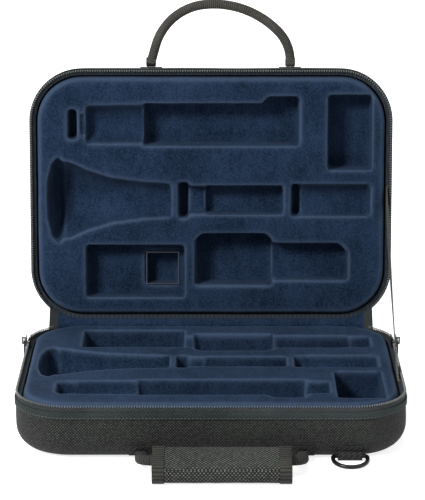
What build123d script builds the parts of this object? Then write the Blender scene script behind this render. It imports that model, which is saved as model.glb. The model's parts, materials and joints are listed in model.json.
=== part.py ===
from build123d import *
import os
from math import cos, radians, sin, sqrt

# Zip-around soft case for a clarinet, standing open on a table.
# +X is to the right, +Y points to the hinge at the rear, +Z is up.
# The origin is the centre of the flat bottom, on the table.

# ---------------------------------------------------------------- driving sizes, mm and degrees
case_width = 330.0              # along X, over the binding bands
case_depth = 232.0              # along Y, over the binding bands
corner_radius = 48.0            # plan corners
base_height = 49.0              # bottom to rim plane
lid_height = 43.5               # rim plane to top panel
lid_lean = 6.0                  # how far behind vertical the open lid rests on its stay
edge_rounding = 18.0            # round between the walls and the flat panels

band_thickness = 1.2            # binding band stands this far proud of the skin
band_width = 6.0
band_depth = 6.5                # rim plane to the band's near edge
skin_thickness = 1.0            # woven nylon skin
skin_edge_depth = 9.0           # rim plane to the skin's edge, hidden under the band
board_thickness = 3.5
board_edge_depth = 6.0          # rim plane to the board's edge

tape_thickness = 0.8            # zip tape
tape_inset = 1.4                # outer face of the tape, in from the band's face
coil_radius = 1.1
coil_facet = 0.58               # chamfer of the bead, as a share of its radius
coil_gap = 0.6                  # rim plane to the near side of each coil
hinge_end_inset = 17.0          # the fabric hinge ends this far in from the sides
gusset_edge_depth = 5.8
gusset_sag = 0.4                # how far the spread gusset falls back towards the hinge line
side_clearance = 0.3            # between neighbours that stay free of each other

insert_inset = 7.3              # plan gap from the band's face to the plush
insert_drop = 3.0               # rim plane to the face of the plush
insert_edge_round = 4.0         # rolled outer edge of the plush
insert_bottom_chamfer = 12.0
pocket_draft = 4.0              # moulded pocket walls open towards the mouth

# rows of pockets, measured from the hinge line
upper_row = 182.0               # upper joint, nearest the front edge
middle_row = 112.5              # bell, mouthpiece and barrel
lower_row = 56.0                # lower joint, nearest the hinge

bell_rim_x = -139.0
bell_rim_radius = 40.3
bell_rim_slot = 21.0            # length of the rim slot along X
bell_throat_x = -36.0
bell_throat_radius = 16.5
bell_flare = ((-128.0, 35.0), (-112.0, 28.0), (-90.0, 21.5), (-62.0, 18.0))      # x and radius, rim to throat
axis_lift = 3.0                 # the instrument's axes lie this far below the rim plane
joint_radius = 15.5
joint_slack = 1.0

key_depth = 22.0                # pockets that take keywork
end_depth = 16.0                # slots that take rings and tenons
ridge_depth = 8.0
base_extra_depth = 6.0          # the base's pockets go this much deeper than the lid's

well_size = 31.0                # square well in the lid
well_depth = 28.0
well_wall = 0.8
well_lip = 0.8                  # the liner's rim stands this far out of the well

stay_width = 10.0
stay_thickness = 1.0
stay_inset = 5.0                # plan distance from the band's face to the ribbon
stay_lid_reach = 118.0          # from the hinge line, along the lid
stay_base_reach = 146.0         # from the hinge line, along the base
stay_end_depth = 5.5
anchor_length = 16.0
anchor_gap = 0.4                # anchors stay this far below the slider's path
anchor_thickness = 1.2

handle_x = 9.0                  # both handles sit a little to the right
webbing_diameter = 8.6          # rolled webbing of both handles
webbing_sides = 8
root_radius = webbing_diameter / 2 + 0.2      # the webbing turns round inside its patch
lid_handle_left = 63.5          # left root, from the handle's middle
lid_handle_stub = 15.5          # straight left leg before the arch
lid_handle_lean = 16.0          # the left leg leans in
arch_left_radius = 51.5         # three arcs from left to right
arch_left_turn = 68.0
arch_top_radius = 82.0
arch_top_turn = 52.0
arch_right_radius = 38.0
lid_handle_depth = 23.0         # rim plane to the root
patch_thickness = 1.2           # stitched webbing patches
patch_width = 20.0
patch_top = 13.0                # base patches reach this high
patch_foot = 2.5                # and start this far above the table
lid_patch_length = 18.0

base_handle_span = 134.0
base_handle_reach = 30.0        # root to the bar
base_handle_bend = 13.0
base_root_angle = 33.0          # direction of the root, below horizontal, from the edge round's centre

grip_length = 113.0             # along X
grip_width = 41.5
grip_thickness = 15.2
grip_play = 0.2                 # between the wrap's lining and the webbing
grip_land = 9.0                 # rear edge where the two halves meet and fasten
grip_lean = 12.0                # the grip slopes down to the table
grip_foot = 0.2                 # its bindings stop this far above the table
grip_bar_offset = 6.5           # the bar lies this far behind the grip's middle
grip_split = 0.3
grip_binding_width = 10.0
grip_binding_thickness = 0.6
fastener_thickness = 0.7
fastener_end_gap = 3.0

ring_end_inset = 50.0           # middle of the ring, in from the right side
ring_width = 28.5               # between the wire's middles
ring_leg = 6.0                  # straight sides before the half circle
ring_bend = 3.0
ring_wire = 3.6
ring_sides = 8
ring_play = 0.35
ring_foot = 0.2
ring_tab_width = 20.0
ring_tab_thickness = 1.5
ring_root_angle = 40.0

slider_y = 60.0                 # where the sliders rest, ahead of the rear corners
slider_length = 12.0
slider_half_height = 4.4
slider_plate = 1.0
slider_play = 0.25
slider_web_height = 0.9
slider_web_length = 3.0
bail_opening = 2.25             # slider plate to the bail's outer bar
bail_wire = 1.2
bail_width = 1.6
bail_half_height = 3.2
pull_length = 27.0
pull_width = 6.5
pull_thickness = 1.4
pull_bar = 1.4
pull_window_width = 3.6
pull_window_length = 6.0

stop_length = 5.0
stop_height = 4.5
stop_thickness = 1.1
stop_depth = 0.8                # rim plane to the stop's near edge

# ---------------------------------------------------------------- frames and derived sizes
# Each half is drawn in its own frame: x across, y away from the hinge line, z away from the rim plane.
hinge_line = Vector(0, case_depth / 2, base_height)
lean = radians(lid_lean)
base_frame = Plane(origin=hinge_line, x_dir=(1, 0, 0), z_dir=(0, 0, -1))
lid_frame = Plane(origin=hinge_line, x_dir=(-1, 0, 0), z_dir=(0, cos(lean), -sin(lean)))

hinge_half_width = case_width / 2 - hinge_end_inset
ring_x = case_width / 2 - ring_end_inset
insert_floor = skin_thickness + board_thickness
board_layer = band_thickness + skin_thickness
insert_layer = board_layer + board_thickness
tape_layer = tape_inset + tape_thickness / 2
coil_depth = coil_gap + coil_radius
tape_top = coil_depth + coil_radius


def deepest(frame):
    """Axis along which depth grows in a half's frame."""
    return Axis(frame.origin, frame.z_dir)


def plan_outline(inset, mode=Mode.ADD):
    """The case's plan, pulled in by inset."""
    with Locations((0, case_depth / 2)):
        RectangleRounded(case_width - 2 * inset, case_depth - 2 * inset, corner_radius - inset, mode=mode)


def rim_loop(inset, thickness):
    """Thin wall along front, sides and rear corners, open across the fabric hinge."""
    plan_outline(inset)
    plan_outline(inset + thickness, mode=Mode.SUBTRACT)
    Rectangle(2 * hinge_half_width, 2 * corner_radius, mode=Mode.SUBTRACT)


def tray(frame, layer, near, far, rounding, facing=fillet):
    """Solid tray form from depth near to depth far, with its far edges rounded, or chamfered where hidden."""
    with BuildPart() as form:
        with BuildSketch(frame.offset(near)):
            plan_outline(layer)
        extrude(amount=far - near)
        facing(form.faces().sort_by(deepest(frame))[-1].edges(), rounding)
    return form.part


def make_skin(frame, height):
    with BuildPart() as skin:
        add(tray(frame, band_thickness, skin_edge_depth, height, edge_rounding))
        add(tray(frame, board_layer, skin_edge_depth, height - skin_thickness, edge_rounding - skin_thickness),
            mode=Mode.SUBTRACT)
    return skin.part


def make_board(frame, height):
    inner_rounding = edge_rounding - insert_floor
    with BuildPart() as board:
        add(tray(frame, board_layer, board_edge_depth, height - skin_thickness, edge_rounding - skin_thickness))
        add(tray(frame, insert_layer, board_edge_depth, height - insert_floor, inner_rounding, chamfer),
            mode=Mode.SUBTRACT)
    return board.part


def make_band(frame, height):
    """Binding band, seated on the skin all round."""
    with BuildPart() as band:
        with BuildSketch(frame.offset(band_depth)):
            plan_outline(0)
        extrude(amount=band_width)
        with BuildSketch(frame.offset(band_depth)) as seat:
            plan_outline(band_thickness)
        extrude(seat.sketch, amount=band_width, mode=Mode.SUBTRACT)
    return band.part


def make_tape(frame):
    """Zip tape, standing up inside the binding band."""
    with BuildPart() as tape:
        with BuildSketch(frame.offset(tape_top)):
            rim_loop(tape_inset, tape_thickness)
        extrude(amount=skin_edge_depth - tape_top)
    return tape.part


def make_coil(frame):
    """Half of the coil zip, as a bead along the free edge of its tape."""
    with BuildPart() as coil:
        with BuildSketch(frame.offset(coil_gap)):
            rim_loop(tape_layer - coil_radius, 2 * coil_radius)
        extrude(amount=2 * coil_radius)
        chamfer(coil.faces().filter_by(deepest(frame)).edges(), coil_radius * coil_facet)
    return coil.part


# ---------------------------------------------------------------- moulded inserts
def cut_pocket(face, x_from, x_to, s_from, s_to, depth):
    """Moulded pocket in the insert; its mouth is as given and its walls draw in with depth."""
    side = face.x_dir.X
    with BuildSketch(face) as mouth:
        with Locations((side * (x_from + x_to) / 2, (s_from + s_to) / 2)):
            Rectangle(x_to - x_from, s_to - s_from)
    extrude(mouth.sketch, amount=depth, taper=pocket_draft, mode=Mode.SUBTRACT)


def cut_saddle(face, x_from, x_to, row, radius, lift):
    """Half-round trough along X, its axis lift above the plush."""
    side = face.x_dir.X
    start = face.from_local_coords((side * x_from, row, -lift))
    with BuildSketch(Plane(origin=start, x_dir=face.y_dir, z_dir=(1, 0, 0))) as round_end:
        Circle(radius)
    extrude(round_end.sketch, amount=x_to - x_from, mode=Mode.SUBTRACT)


def cut_bell(face, lift):
    """Round rim slot and flared trough of the bell, turned about the bell's own axis."""
    side = face.x_dir.X
    axis_point = face.from_local_coords((0, middle_row, -lift))
    section = Plane(origin=axis_point, x_dir=(1, 0, 0), z_dir=face.y_dir * -side)
    turn = Axis(axis_point, (1, 0, 0))
    with BuildSketch(section) as trough:
        Polygon((bell_rim_x, bell_rim_radius * 0.9), *bell_flare, (bell_throat_x, bell_throat_radius),
                (bell_throat_x, 0), (bell_rim_x, 0), align=None)
    revolve(trough.sketch, axis=turn, mode=Mode.SUBTRACT)
    rim = [(bell_rim_x + bell_rim_slot / 2 * cos(radians(angle)), bell_rim_radius * sin(radians(angle)))
           for angle in range(0, 181, 30)]
    with BuildSketch(section) as rim_slot:
        Polygon(*rim, align=None)
    revolve(rim_slot.sketch, axis=turn, mode=Mode.SUBTRACT)


# Pockets, as (from, to) along X and (from, to) away from the hinge line.
upper_slot_x = (-129.5, -121.5)     # end ring of the upper joint
upper_step_x = (-118.5, -114.0)
upper_saddle_x = (-113.0, -61.5)
upper_keys_x = (-61.5, 80.0)
upper_keys_s = (162.0, 201.0)
upper_swell_x = 52.0                # the key pocket shifts towards the front edge from here
upper_swell = 6.0
joint_slot_width = 27.0
accessory_x = (106.0, 146.0)
accessory_s = (140.0, 208.5)
mouthpiece_slot_x = (-30.0, -20.0)
mouthpiece_ridge_x = (-21.0, -5.0)
mouthpiece_x = (-5.5, 66.0)
mouthpiece_width = 27.0
mouthpiece_slot_width = 33.0
barrel_slot_x = (73.0, 81.5)
barrel_x = (81.0, 145.0)
barrel_radius = 16.2
barrel_slot_width = 30.0
lower_box_x = (-114.0, -24.0)
lower_box_s = (22.5, 71.0)
well_x = -44.5
well_s = 47.0
lower_keys_x = (-14.5, 56.0)
lower_keys_s = (34.0, 82.0)
lower_keys_chamfer = 6.5
lower_end_x = (54.0, 125.0)
lower_end_s = (38.5, 72.5)
lower_end_chamfer = 8.0
upper_joint_x = (-127.0, 100.0)     # round channels in the base
lower_joint_x = (-112.0, 142.0)


def cut_chamfered(face, x_range, s_range, depth, chamfers):
    """Pocket whose corners away from the hinge are cut off; chamfers gives their sizes, left and right."""
    side = face.x_dir.X
    left, right = chamfers
    corners = [(x_range[0], s_range[0]), (x_range[1], s_range[0]), (x_range[1], s_range[1] - right),
               (x_range[1] - right, s_range[1]), (x_range[0] + left, s_range[1]), (x_range[0], s_range[1] - left)]
    with BuildSketch(face) as mouth:
        Polygon(*[(side * x, s) for x, s in corners], align=None)
    extrude(mouth.sketch, amount=depth, taper=pocket_draft, mode=Mode.SUBTRACT)


def cut_rows(face, lift, extra):
    """All the pockets that base and lid share; extra deepens them, lift is the axes' height over the plush."""
    half_slot = joint_slot_width / 2
    cut_pocket(face, *upper_slot_x, upper_row - half_slot, upper_row + half_slot, end_depth + extra)
    cut_pocket(face, *upper_step_x, upper_row - half_slot + 4, upper_row + half_slot - 4, end_depth)
    cut_saddle(face, *upper_saddle_x, upper_row, joint_radius + joint_slack + lift / 3, lift)
    cut_pocket(face, *upper_keys_x, *upper_keys_s, key_depth + extra)
    cut_chamfered(face, (upper_swell_x - upper_swell, upper_keys_x[1]),
                  (upper_keys_s[0] + upper_swell / 2, upper_keys_s[1] + upper_swell), key_depth + extra,
                  (upper_swell, 0.5))
    cut_bell(face, lift)
    half_mouth = mouthpiece_width / 2
    half_end = mouthpiece_slot_width / 2
    cut_pocket(face, *mouthpiece_slot_x, middle_row - half_end, middle_row + half_end, end_depth + extra)
    cut_pocket(face, *mouthpiece_ridge_x, middle_row - half_mouth + 1, middle_row + half_mouth - 1,
               ridge_depth + extra)
    cut_pocket(face, *mouthpiece_x, middle_row - half_mouth, middle_row + half_mouth, end_depth + extra)
    half_barrel = barrel_slot_width / 2
    cut_pocket(face, *barrel_slot_x, middle_row - half_barrel, middle_row + half_barrel, end_depth + extra)
    cut_saddle(face, *barrel_x, middle_row, barrel_radius, lift)
    cut_pocket(face, *accessory_x, *accessory_s, key_depth + extra)
    cut_pocket(face, *lower_box_x, *lower_box_s, end_depth + extra)
    cut_chamfered(face, lower_keys_x, lower_keys_s, key_depth + extra, (lower_keys_chamfer, lower_keys_chamfer))
    cut_chamfered(face, lower_end_x, lower_end_s, end_depth + extra, (0.5, lower_end_chamfer))


def insert_block(frame, height):
    """Foam block that fills the board, with a rolled outer edge round its face."""
    with BuildPart() as block:
        add(tray(frame, insert_inset, insert_drop, height - insert_floor, insert_bottom_chamfer, chamfer))
        fillet(block.faces().sort_by(deepest(frame))[0].edges(), radius=insert_edge_round)
    return block.part


# ---------------------------------------------------------------- base
os.makedirs("parts", exist_ok=True)


def keep(name, part):
    part.label = name
    export_step(part, f"parts/{name}.step")


keep("base_cover", make_skin(base_frame, base_height))
keep("base_shell", make_board(base_frame, base_height))
keep("base_rim_binding", make_band(base_frame, base_height))
keep("base_zip_tape", make_tape(base_frame))
keep("base_zip_coil", make_coil(base_frame))

base_face = base_frame.offset(insert_drop)
with BuildPart() as base_insert:
    add(insert_block(base_frame, base_height))
    cut_rows(base_face, insert_drop - axis_lift, base_extra_depth)
    cut_saddle(base_face, *upper_joint_x, upper_row, joint_radius, 0)
    cut_saddle(base_face, *lower_joint_x, lower_row, joint_radius, 0)
keep("base_insert", base_insert.part)

# ---------------------------------------------------------------- lid
keep("lid_cover", make_skin(lid_frame, lid_height))
keep("lid_shell", make_board(lid_frame, lid_height))
keep("lid_rim_binding", make_band(lid_frame, lid_height))
keep("lid_zip_tape", make_tape(lid_frame))
keep("lid_zip_coil", make_coil(lid_frame))

lid_face = lid_frame.offset(insert_drop)
with BuildPart() as lid_insert:
    add(insert_block(lid_frame, lid_height))
    cut_rows(lid_face, insert_drop + axis_lift, 0)
    cut_pocket(lid_face.offset(end_depth), well_x - well_size / 2, well_x + well_size / 2,
               well_s - well_size / 2, well_s + well_size / 2, well_depth - end_depth)
keep("lid_insert", lid_insert.part)

with BuildPart() as lid_well_liner:
    liner_mouth = lid_face.offset(end_depth - well_lip)
    liner_depth = well_depth - end_depth + well_lip - side_clearance
    for size, mode in ((well_size - 2 * side_clearance, Mode.ADD),
                       (well_size - 2 * (side_clearance + well_wall), Mode.SUBTRACT)):
        with BuildSketch(liner_mouth):
            with Locations((-well_x, well_s)):
                Rectangle(size, size)
        extrude(amount=liner_depth, taper=pocket_draft, mode=mode)
keep("lid_well_liner", lid_well_liner.part)


# ---------------------------------------------------------------- fabric hinge and stay
def lid_point(s, depth):
    """(y, z) of a point of the open lid, s from the hinge line and depth behind its rim plane."""
    return (hinge_line.Y + s * sin(lean) + depth * cos(lean), hinge_line.Z + s * cos(lean) - depth * sin(lean))


def strip_outline(points, thickness):
    """Closed outline of a thin strip that follows the points."""
    near, far = [], []
    for i, (y, z) in enumerate(points):
        before, after = points[max(i - 1, 0)], points[min(i + 1, len(points) - 1)]
        along = Vector(after[0] - before[0], after[1] - before[1]).normalized() * (thickness / 2)
        near.append((y - along.Y, z + along.X))
        far.append((y + along.Y, z - along.X))
    return near + far[::-1]


def gusset_outline(x):
    """Section of the fabric hinge at x: up the base's rim, across the opened gap, along the lid's rim."""
    corner_x = case_width / 2 - corner_radius
    radius = corner_radius - tape_layer
    beyond = max(abs(x) - corner_x, 0)
    s = corner_radius - sqrt(radius ** 2 - beyond ** 2)
    base_y = hinge_line.Y - s
    base_low, base_high = (base_y, hinge_line.Z - gusset_edge_depth), (base_y, hinge_line.Z - coil_gap)
    lid_near, lid_far = lid_point(s, coil_gap), lid_point(s, gusset_edge_depth)
    middle_y, middle_z = (base_high[0] + lid_near[0]) / 2, (base_high[1] + lid_near[1]) / 2
    fold = (middle_y + gusset_sag * (hinge_line.Y - middle_y), middle_z + gusset_sag * (hinge_line.Z - middle_z))
    return strip_outline([base_low, base_high, fold, lid_near, lid_far], tape_thickness)


gusset_end = hinge_half_width - side_clearance
gusset_straight = case_width / 2 - corner_radius
gusset_step = (gusset_end - gusset_straight) / 3
gusset_stations = [gusset_straight + i * gusset_step for i in range(4)]
with BuildPart() as hinge_gusset:
    for x in [-x for x in gusset_stations[::-1]] + gusset_stations:
        with BuildSketch(Plane.YZ.offset(x)):
            Polygon(*gusset_outline(x), align=None)
    loft(ruled=True)
keep("hinge_gusset", hinge_gusset.part)

stay_x = case_width / 2 - stay_inset
base_end = (hinge_line.Y - stay_base_reach, hinge_line.Z - stay_end_depth)
lid_end = lid_point(stay_lid_reach, stay_end_depth)
stay_rise = Vector(lid_end[0] - base_end[0], lid_end[1] - base_end[1])
stay_angle = Vector(1, 0).get_angle(stay_rise)
base_half_cut = stay_width / 2 / sin(radians(stay_angle))
lid_half_cut = stay_width / 2 / cos(radians(stay_angle) + lean)
lid_cut = Vector(lid_point(stay_lid_reach + 1, 0)) - Vector(lid_point(stay_lid_reach, 0))
with BuildPart() as lid_stay:
    with BuildSketch(Plane.YZ.offset(stay_x - stay_thickness / 2)):
        Polygon((base_end[0] - base_half_cut, base_end[1]), (base_end[0] + base_half_cut, base_end[1]),
                (lid_end[0] - lid_cut.X * lid_half_cut, lid_end[1] - lid_cut.Y * lid_half_cut),
                (lid_end[0] + lid_cut.X * lid_half_cut, lid_end[1] + lid_cut.Y * lid_half_cut), align=None)
    extrude(amount=stay_thickness)
keep("lid_stay", lid_stay.part)


def make_stay_anchor(frame, reach):
    """Stitched patch beside the ribbon's end, standing on the board's edge."""
    side = frame.x_dir.X
    near_x = stay_x + stay_thickness / 2 + side_clearance
    with BuildPart() as anchor:
        with BuildSketch(frame.offset(board_edge_depth)):
            with Locations((side * (near_x + anchor_thickness / 2), reach)):
                Rectangle(anchor_thickness, anchor_length)
        extrude(amount=slider_half_height + anchor_gap - board_edge_depth)
    return anchor.part


keep("base_stay_anchor", make_stay_anchor(base_frame, stay_base_reach))
keep("lid_stay_anchor", make_stay_anchor(lid_frame, stay_lid_reach))


# ---------------------------------------------------------------- zip stops, sliders and pulls
def make_stop(side):
    """Fabric tab sewn over the end of the fabric hinge, where the base's coil begins."""
    corner_x = case_width / 2 - corner_radius
    beyond = hinge_half_width - stop_length / 2 - corner_x
    radius = corner_radius - tape_inset + stop_thickness / 2
    rise = sqrt(radius ** 2 - beyond ** 2)
    place = base_frame.from_local_coords((side * (corner_x + beyond), corner_radius - rise, stop_depth))
    outward = Vector(side * beyond, rise, 0).normalized()
    with BuildPart() as stop:
        with BuildSketch(Plane(origin=place, x_dir=outward.cross(Vector(0, 0, 1)), z_dir=(0, 0, -1))):
            RectangleRounded(stop_length, stop_thickness, stop_thickness / 3)
        extrude(amount=stop_height)
    return stop.part


plate_out = tape_layer - coil_radius - slider_play       # outer plate's inner face, in from the band's face
plate_in = tape_layer + coil_radius + slider_play
flange_top = coil_depth + coil_radius + slider_play


def slab(side, inset_range, y_range, depth_range, mode=Mode.ADD):
    """Block on the side wall, between two insets, two places along Y and two depths below the rim plane."""
    x_middle = case_width / 2 - (inset_range[0] + inset_range[1]) / 2
    centre = (side * x_middle, (y_range[0] + y_range[1]) / 2, base_height - (depth_range[0] + depth_range[1]) / 2)
    with Locations(centre):
        Box(inset_range[1] - inset_range[0], y_range[1] - y_range[0], depth_range[1] - depth_range[0], mode=mode)


def make_slider(side):
    """Slider: two plates joined by a thin web between the coils, flanges round the base's coil, and a bail."""
    ends = (slider_y - slider_length / 2, slider_y + slider_length / 2)
    bail_face = plate_out - slider_plate
    bail_y = (slider_y - bail_width / 2, slider_y + bail_width / 2)
    with BuildPart() as slider:
        for inset in (bail_face, plate_in):
            with BuildSketch(Plane(origin=(side * (case_width / 2 - inset), slider_y, base_height),
                                   x_dir=(0, 1, 0), z_dir=(-side, 0, 0))):
                RectangleRounded(slider_length, 2 * slider_half_height, slider_plate)
            extrude(amount=slider_plate)
        slab(side, (plate_out, tape_inset - slider_play), ends, (flange_top, slider_half_height))
        slab(side, (tape_inset + tape_thickness + slider_play, plate_in), ends, (flange_top, slider_half_height))
        slab(side, (plate_out, plate_in), (ends[0], ends[0] + slider_web_length),
             (-slider_web_height / 2, slider_web_height / 2))
        bail_out = bail_face - bail_opening
        for low in (-bail_half_height, bail_half_height - bail_wire):
            slab(side, (bail_out, bail_face), bail_y, (low, low + bail_wire))
        slab(side, (bail_out - bail_wire, bail_out), bail_y, (-bail_half_height, bail_half_height))
    return slider.part


pull_inset = plate_out - slider_plate - bail_opening / 2     # the pull's bar, midway in the bail


def make_pull(side):
    """Pull tab that hangs from the bail: a bar inside it, and a plate with a window for it."""
    pull_plane = Plane(origin=(side * (case_width / 2 - pull_inset), slider_y, base_height),
                       x_dir=(0, 1, 0), z_dir=(1, 0, 0))
    with BuildPart() as pull:
        with BuildSketch(pull_plane.offset(-pull_thickness / 2)):
            with BuildLine():
                top, foot = pull_bar / 2, -pull_length
                half, narrow = pull_width / 2, pull_width / 2 - 0.9
                Polyline((-half, top), (half, top), (half, -pull_window_length), (narrow, foot + narrow))
                ThreePointArc((narrow, foot + narrow), (0, foot), (-narrow, foot + narrow))
                Polyline((-narrow, foot + narrow), (-half, -pull_window_length), (-half, top))
            make_face()
            with Locations((0, -(pull_bar / 2 + pull_window_length / 2))):
                Rectangle(pull_window_width, pull_window_length, mode=Mode.SUBTRACT)
        extrude(amount=pull_thickness)
    return pull.part


for name, side in (("left", -1), ("right", 1)):
    keep(f"zip_stop_{name}", make_stop(side))
    keep(f"{name}_slider", make_slider(side))
    keep(f"{name}_pull", make_pull(side))


# ---------------------------------------------------------------- handles
def rounding_point(angle, distance):
    """(y, z) at a distance from the centre of the base's front edge round, angle below horizontal."""
    centre_y = -case_depth / 2 + band_thickness + edge_rounding
    return (centre_y - distance * cos(radians(angle)), edge_rounding - distance * sin(radians(angle)))


def make_patch(frame, height, x, near, far, width):
    """Stitched patch of webbing that follows the front wall and its edge round."""
    side = frame.x_dir.X
    with BuildPart() as patch:
        with BuildSketch(frame.offset(near)):
            with Locations((side * x, case_depth - corner_radius / 2)):
                Rectangle(width, corner_radius + 4 * patch_thickness)
        extrude(amount=far - near)
        add(tray(frame, band_thickness - patch_thickness, skin_edge_depth, height + patch_thickness,
                 edge_rounding + patch_thickness), mode=Mode.INTERSECT)
        add(tray(frame, band_thickness, skin_edge_depth, height, edge_rounding), mode=Mode.SUBTRACT)
    return patch.part


root_y, root_z = rounding_point(base_root_angle,
                                edge_rounding + patch_thickness + side_clearance + root_radius)
lean_down = radians(grip_lean)
grip_low_reach = (grip_width - grip_thickness) / 2 * sin(lean_down) + grip_thickness / 2
grip_z = grip_foot + grip_binding_thickness + grip_low_reach
bar_z = grip_z + grip_bar_offset * sin(lean_down)
bar_run = sqrt(base_handle_reach ** 2 - (bar_z - root_z) ** 2)
bar_y = root_y - bar_run
grip_y = bar_y - grip_bar_offset * cos(lean_down)
loop_plane = Plane(origin=(handle_x, root_y, root_z), x_dir=(1, 0, 0),
                   z_dir=Vector(1, 0, 0).cross(Vector(0, -bar_run, bar_z - root_z)))

with BuildPart() as base_handle:
    half = base_handle_span / 2
    with BuildLine(loop_plane) as loop:
        FilletPolyline((-half, 0), (-half, base_handle_reach), (half, base_handle_reach), (half, 0),
                       radius=base_handle_bend)
    with BuildSketch(Plane(origin=loop.wire() @ 0, z_dir=loop.wire() % 0)):
        RegularPolygon(webbing_diameter / 2, webbing_sides)
    sweep()
    for x in (-half, half):
        with BuildSketch(Plane.YZ.offset(handle_x + x - root_radius)):
            with Locations((root_y, root_z)):
                Circle(root_radius)
        extrude(amount=2 * root_radius)
keep("base_handle", base_handle.part)

for name, x in (("left", handle_x - base_handle_span / 2), ("right", handle_x + base_handle_span / 2)):
    keep(f"base_handle_tab_{name}", make_patch(base_frame, base_height, x, base_height - patch_top,
                                               base_height - patch_foot, patch_width))

lid_root_reach = case_depth - band_thickness + patch_thickness + side_clearance + root_radius
arch_right_turn = 180 - lid_handle_lean - arch_left_turn - arch_top_turn
with BuildPart() as lid_handle:
    left_root = (lid_handle_left - handle_x, lid_root_reach)
    with BuildLine(lid_frame.offset(lid_handle_depth)) as loop:
        leg = PolarLine(left_root, lid_handle_stub, angle=90 + lid_handle_lean)
        left_arc = JernArc(leg @ 1, leg % 1, arch_left_radius, arch_left_turn)
        top_arc = JernArc(left_arc @ 1, left_arc % 1, arch_top_radius, arch_top_turn)
        right_arc = JernArc(top_arc @ 1, top_arc % 1, arch_right_radius, arch_right_turn)
        right_leg = lid_frame.to_local_coords(right_arc @ 1)
        right_root = (right_leg.X, lid_root_reach)
        Line(right_arc @ 1, lid_frame.offset(lid_handle_depth).from_local_coords(right_root))
    with BuildSketch(Plane(origin=loop.wire() @ 0, z_dir=loop.wire() % 0)):
        RegularPolygon(webbing_diameter / 2, webbing_sides)
    sweep()
    for x in (left_root[0], right_root[0]):
        root = lid_frame.from_local_coords((x + root_radius, lid_root_reach, lid_handle_depth))
        with BuildSketch(Plane(origin=root, z_dir=(1, 0, 0))):
            Circle(root_radius)
        extrude(amount=2 * root_radius)
keep("lid_handle", lid_handle.part)

for name, x in (("left", -left_root[0]), ("right", -right_root[0])):
    keep(f"lid_handle_tab_{name}", make_patch(lid_frame, lid_height, x, lid_handle_depth - lid_patch_length / 2,
                                              lid_handle_depth + lid_patch_length / 2, patch_width))

# ---------------------------------------------------------------- padded wrap on the base handle
toe = Vector(0, -cos(lean_down), -sin(lean_down))
grip_plane = Plane(origin=(handle_x, grip_y, grip_z), x_dir=toe, z_dir=(-1, 0, 0))
grip_wall = (grip_thickness - webbing_diameter) / 2 - grip_play
grip_bore_length = grip_width - grip_wall - grip_land
grip_bore_middle = (grip_land - grip_wall) / 2
grip_bore = grip_thickness - 2 * grip_wall


def make_grip_half(upper):
    """One padded half of the wrap: the fixed lower half, or the flap above the split."""
    with BuildPart() as half_grip:
        with BuildSketch(grip_plane):
            SlotOverall(grip_width, grip_thickness)
            with Locations((grip_bore_middle, 0)):
                SlotOverall(grip_bore_length, grip_bore, mode=Mode.SUBTRACT)
            if upper:
                Rectangle(2 * grip_width, grip_width, align=(Align.CENTER, Align.MAX), mode=Mode.SUBTRACT)
                with Locations((0, grip_split)):
                    Rectangle(2 * grip_width, grip_width, align=(Align.CENTER, Align.MAX), mode=Mode.SUBTRACT)
            else:
                Rectangle(2 * grip_width, grip_width, align=(Align.CENTER, Align.MIN), mode=Mode.SUBTRACT)
        extrude(amount=grip_length / 2, both=True)
        strip_low = grip_split if upper else -fastener_thickness
        with BuildSketch(grip_plane):
            with Locations((-grip_width / 2, strip_low)):
                Rectangle(grip_land, fastener_thickness, align=(Align.MIN, Align.MIN))
        extrude(amount=grip_length / 2 - fastener_end_gap, both=True, mode=Mode.SUBTRACT)
    return half_grip.part


def make_fastener(upper):
    """Hook or loop tape in its seat along the rear land."""
    strip_low = grip_split if upper else -fastener_thickness
    with BuildPart() as strip:
        with BuildSketch(grip_plane):
            with Locations((-grip_width / 2 + grip_land, strip_low)):
                Rectangle(grip_land * 0.9, fastener_thickness, align=(Align.MAX, Align.MIN))
        extrude(amount=grip_length / 2 - fastener_end_gap, both=True)
    return strip.part


def make_grip_binding(side, upper):
    """Ribbed tape round one end of one half of the wrap."""
    start = grip_length / 2 - grip_binding_width
    with BuildPart() as binding:
        with BuildSketch(grip_plane.offset(-side * start)):
            SlotOverall(grip_width + 2 * grip_binding_thickness, grip_thickness + 2 * grip_binding_thickness)
            SlotOverall(grip_width, grip_thickness, mode=Mode.SUBTRACT)
            with Locations((0, grip_split if upper else 0)):
                align = Align.MAX if upper else Align.MIN
                Rectangle(2 * grip_width, grip_width, align=(Align.CENTER, align), mode=Mode.SUBTRACT)
        extrude(amount=-side * grip_binding_width)
    return binding.part


for name, upper in (("grip_pad", False), ("grip_flap", True)):
    keep(name, make_grip_half(upper))
    keep(f"{name}_binding_left", make_grip_binding(-1, upper))
    keep(f"{name}_binding_right", make_grip_binding(1, upper))
keep("grip_hook_strip", make_fastener(True))
keep("grip_loop_strip", make_fastener(False))

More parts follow.
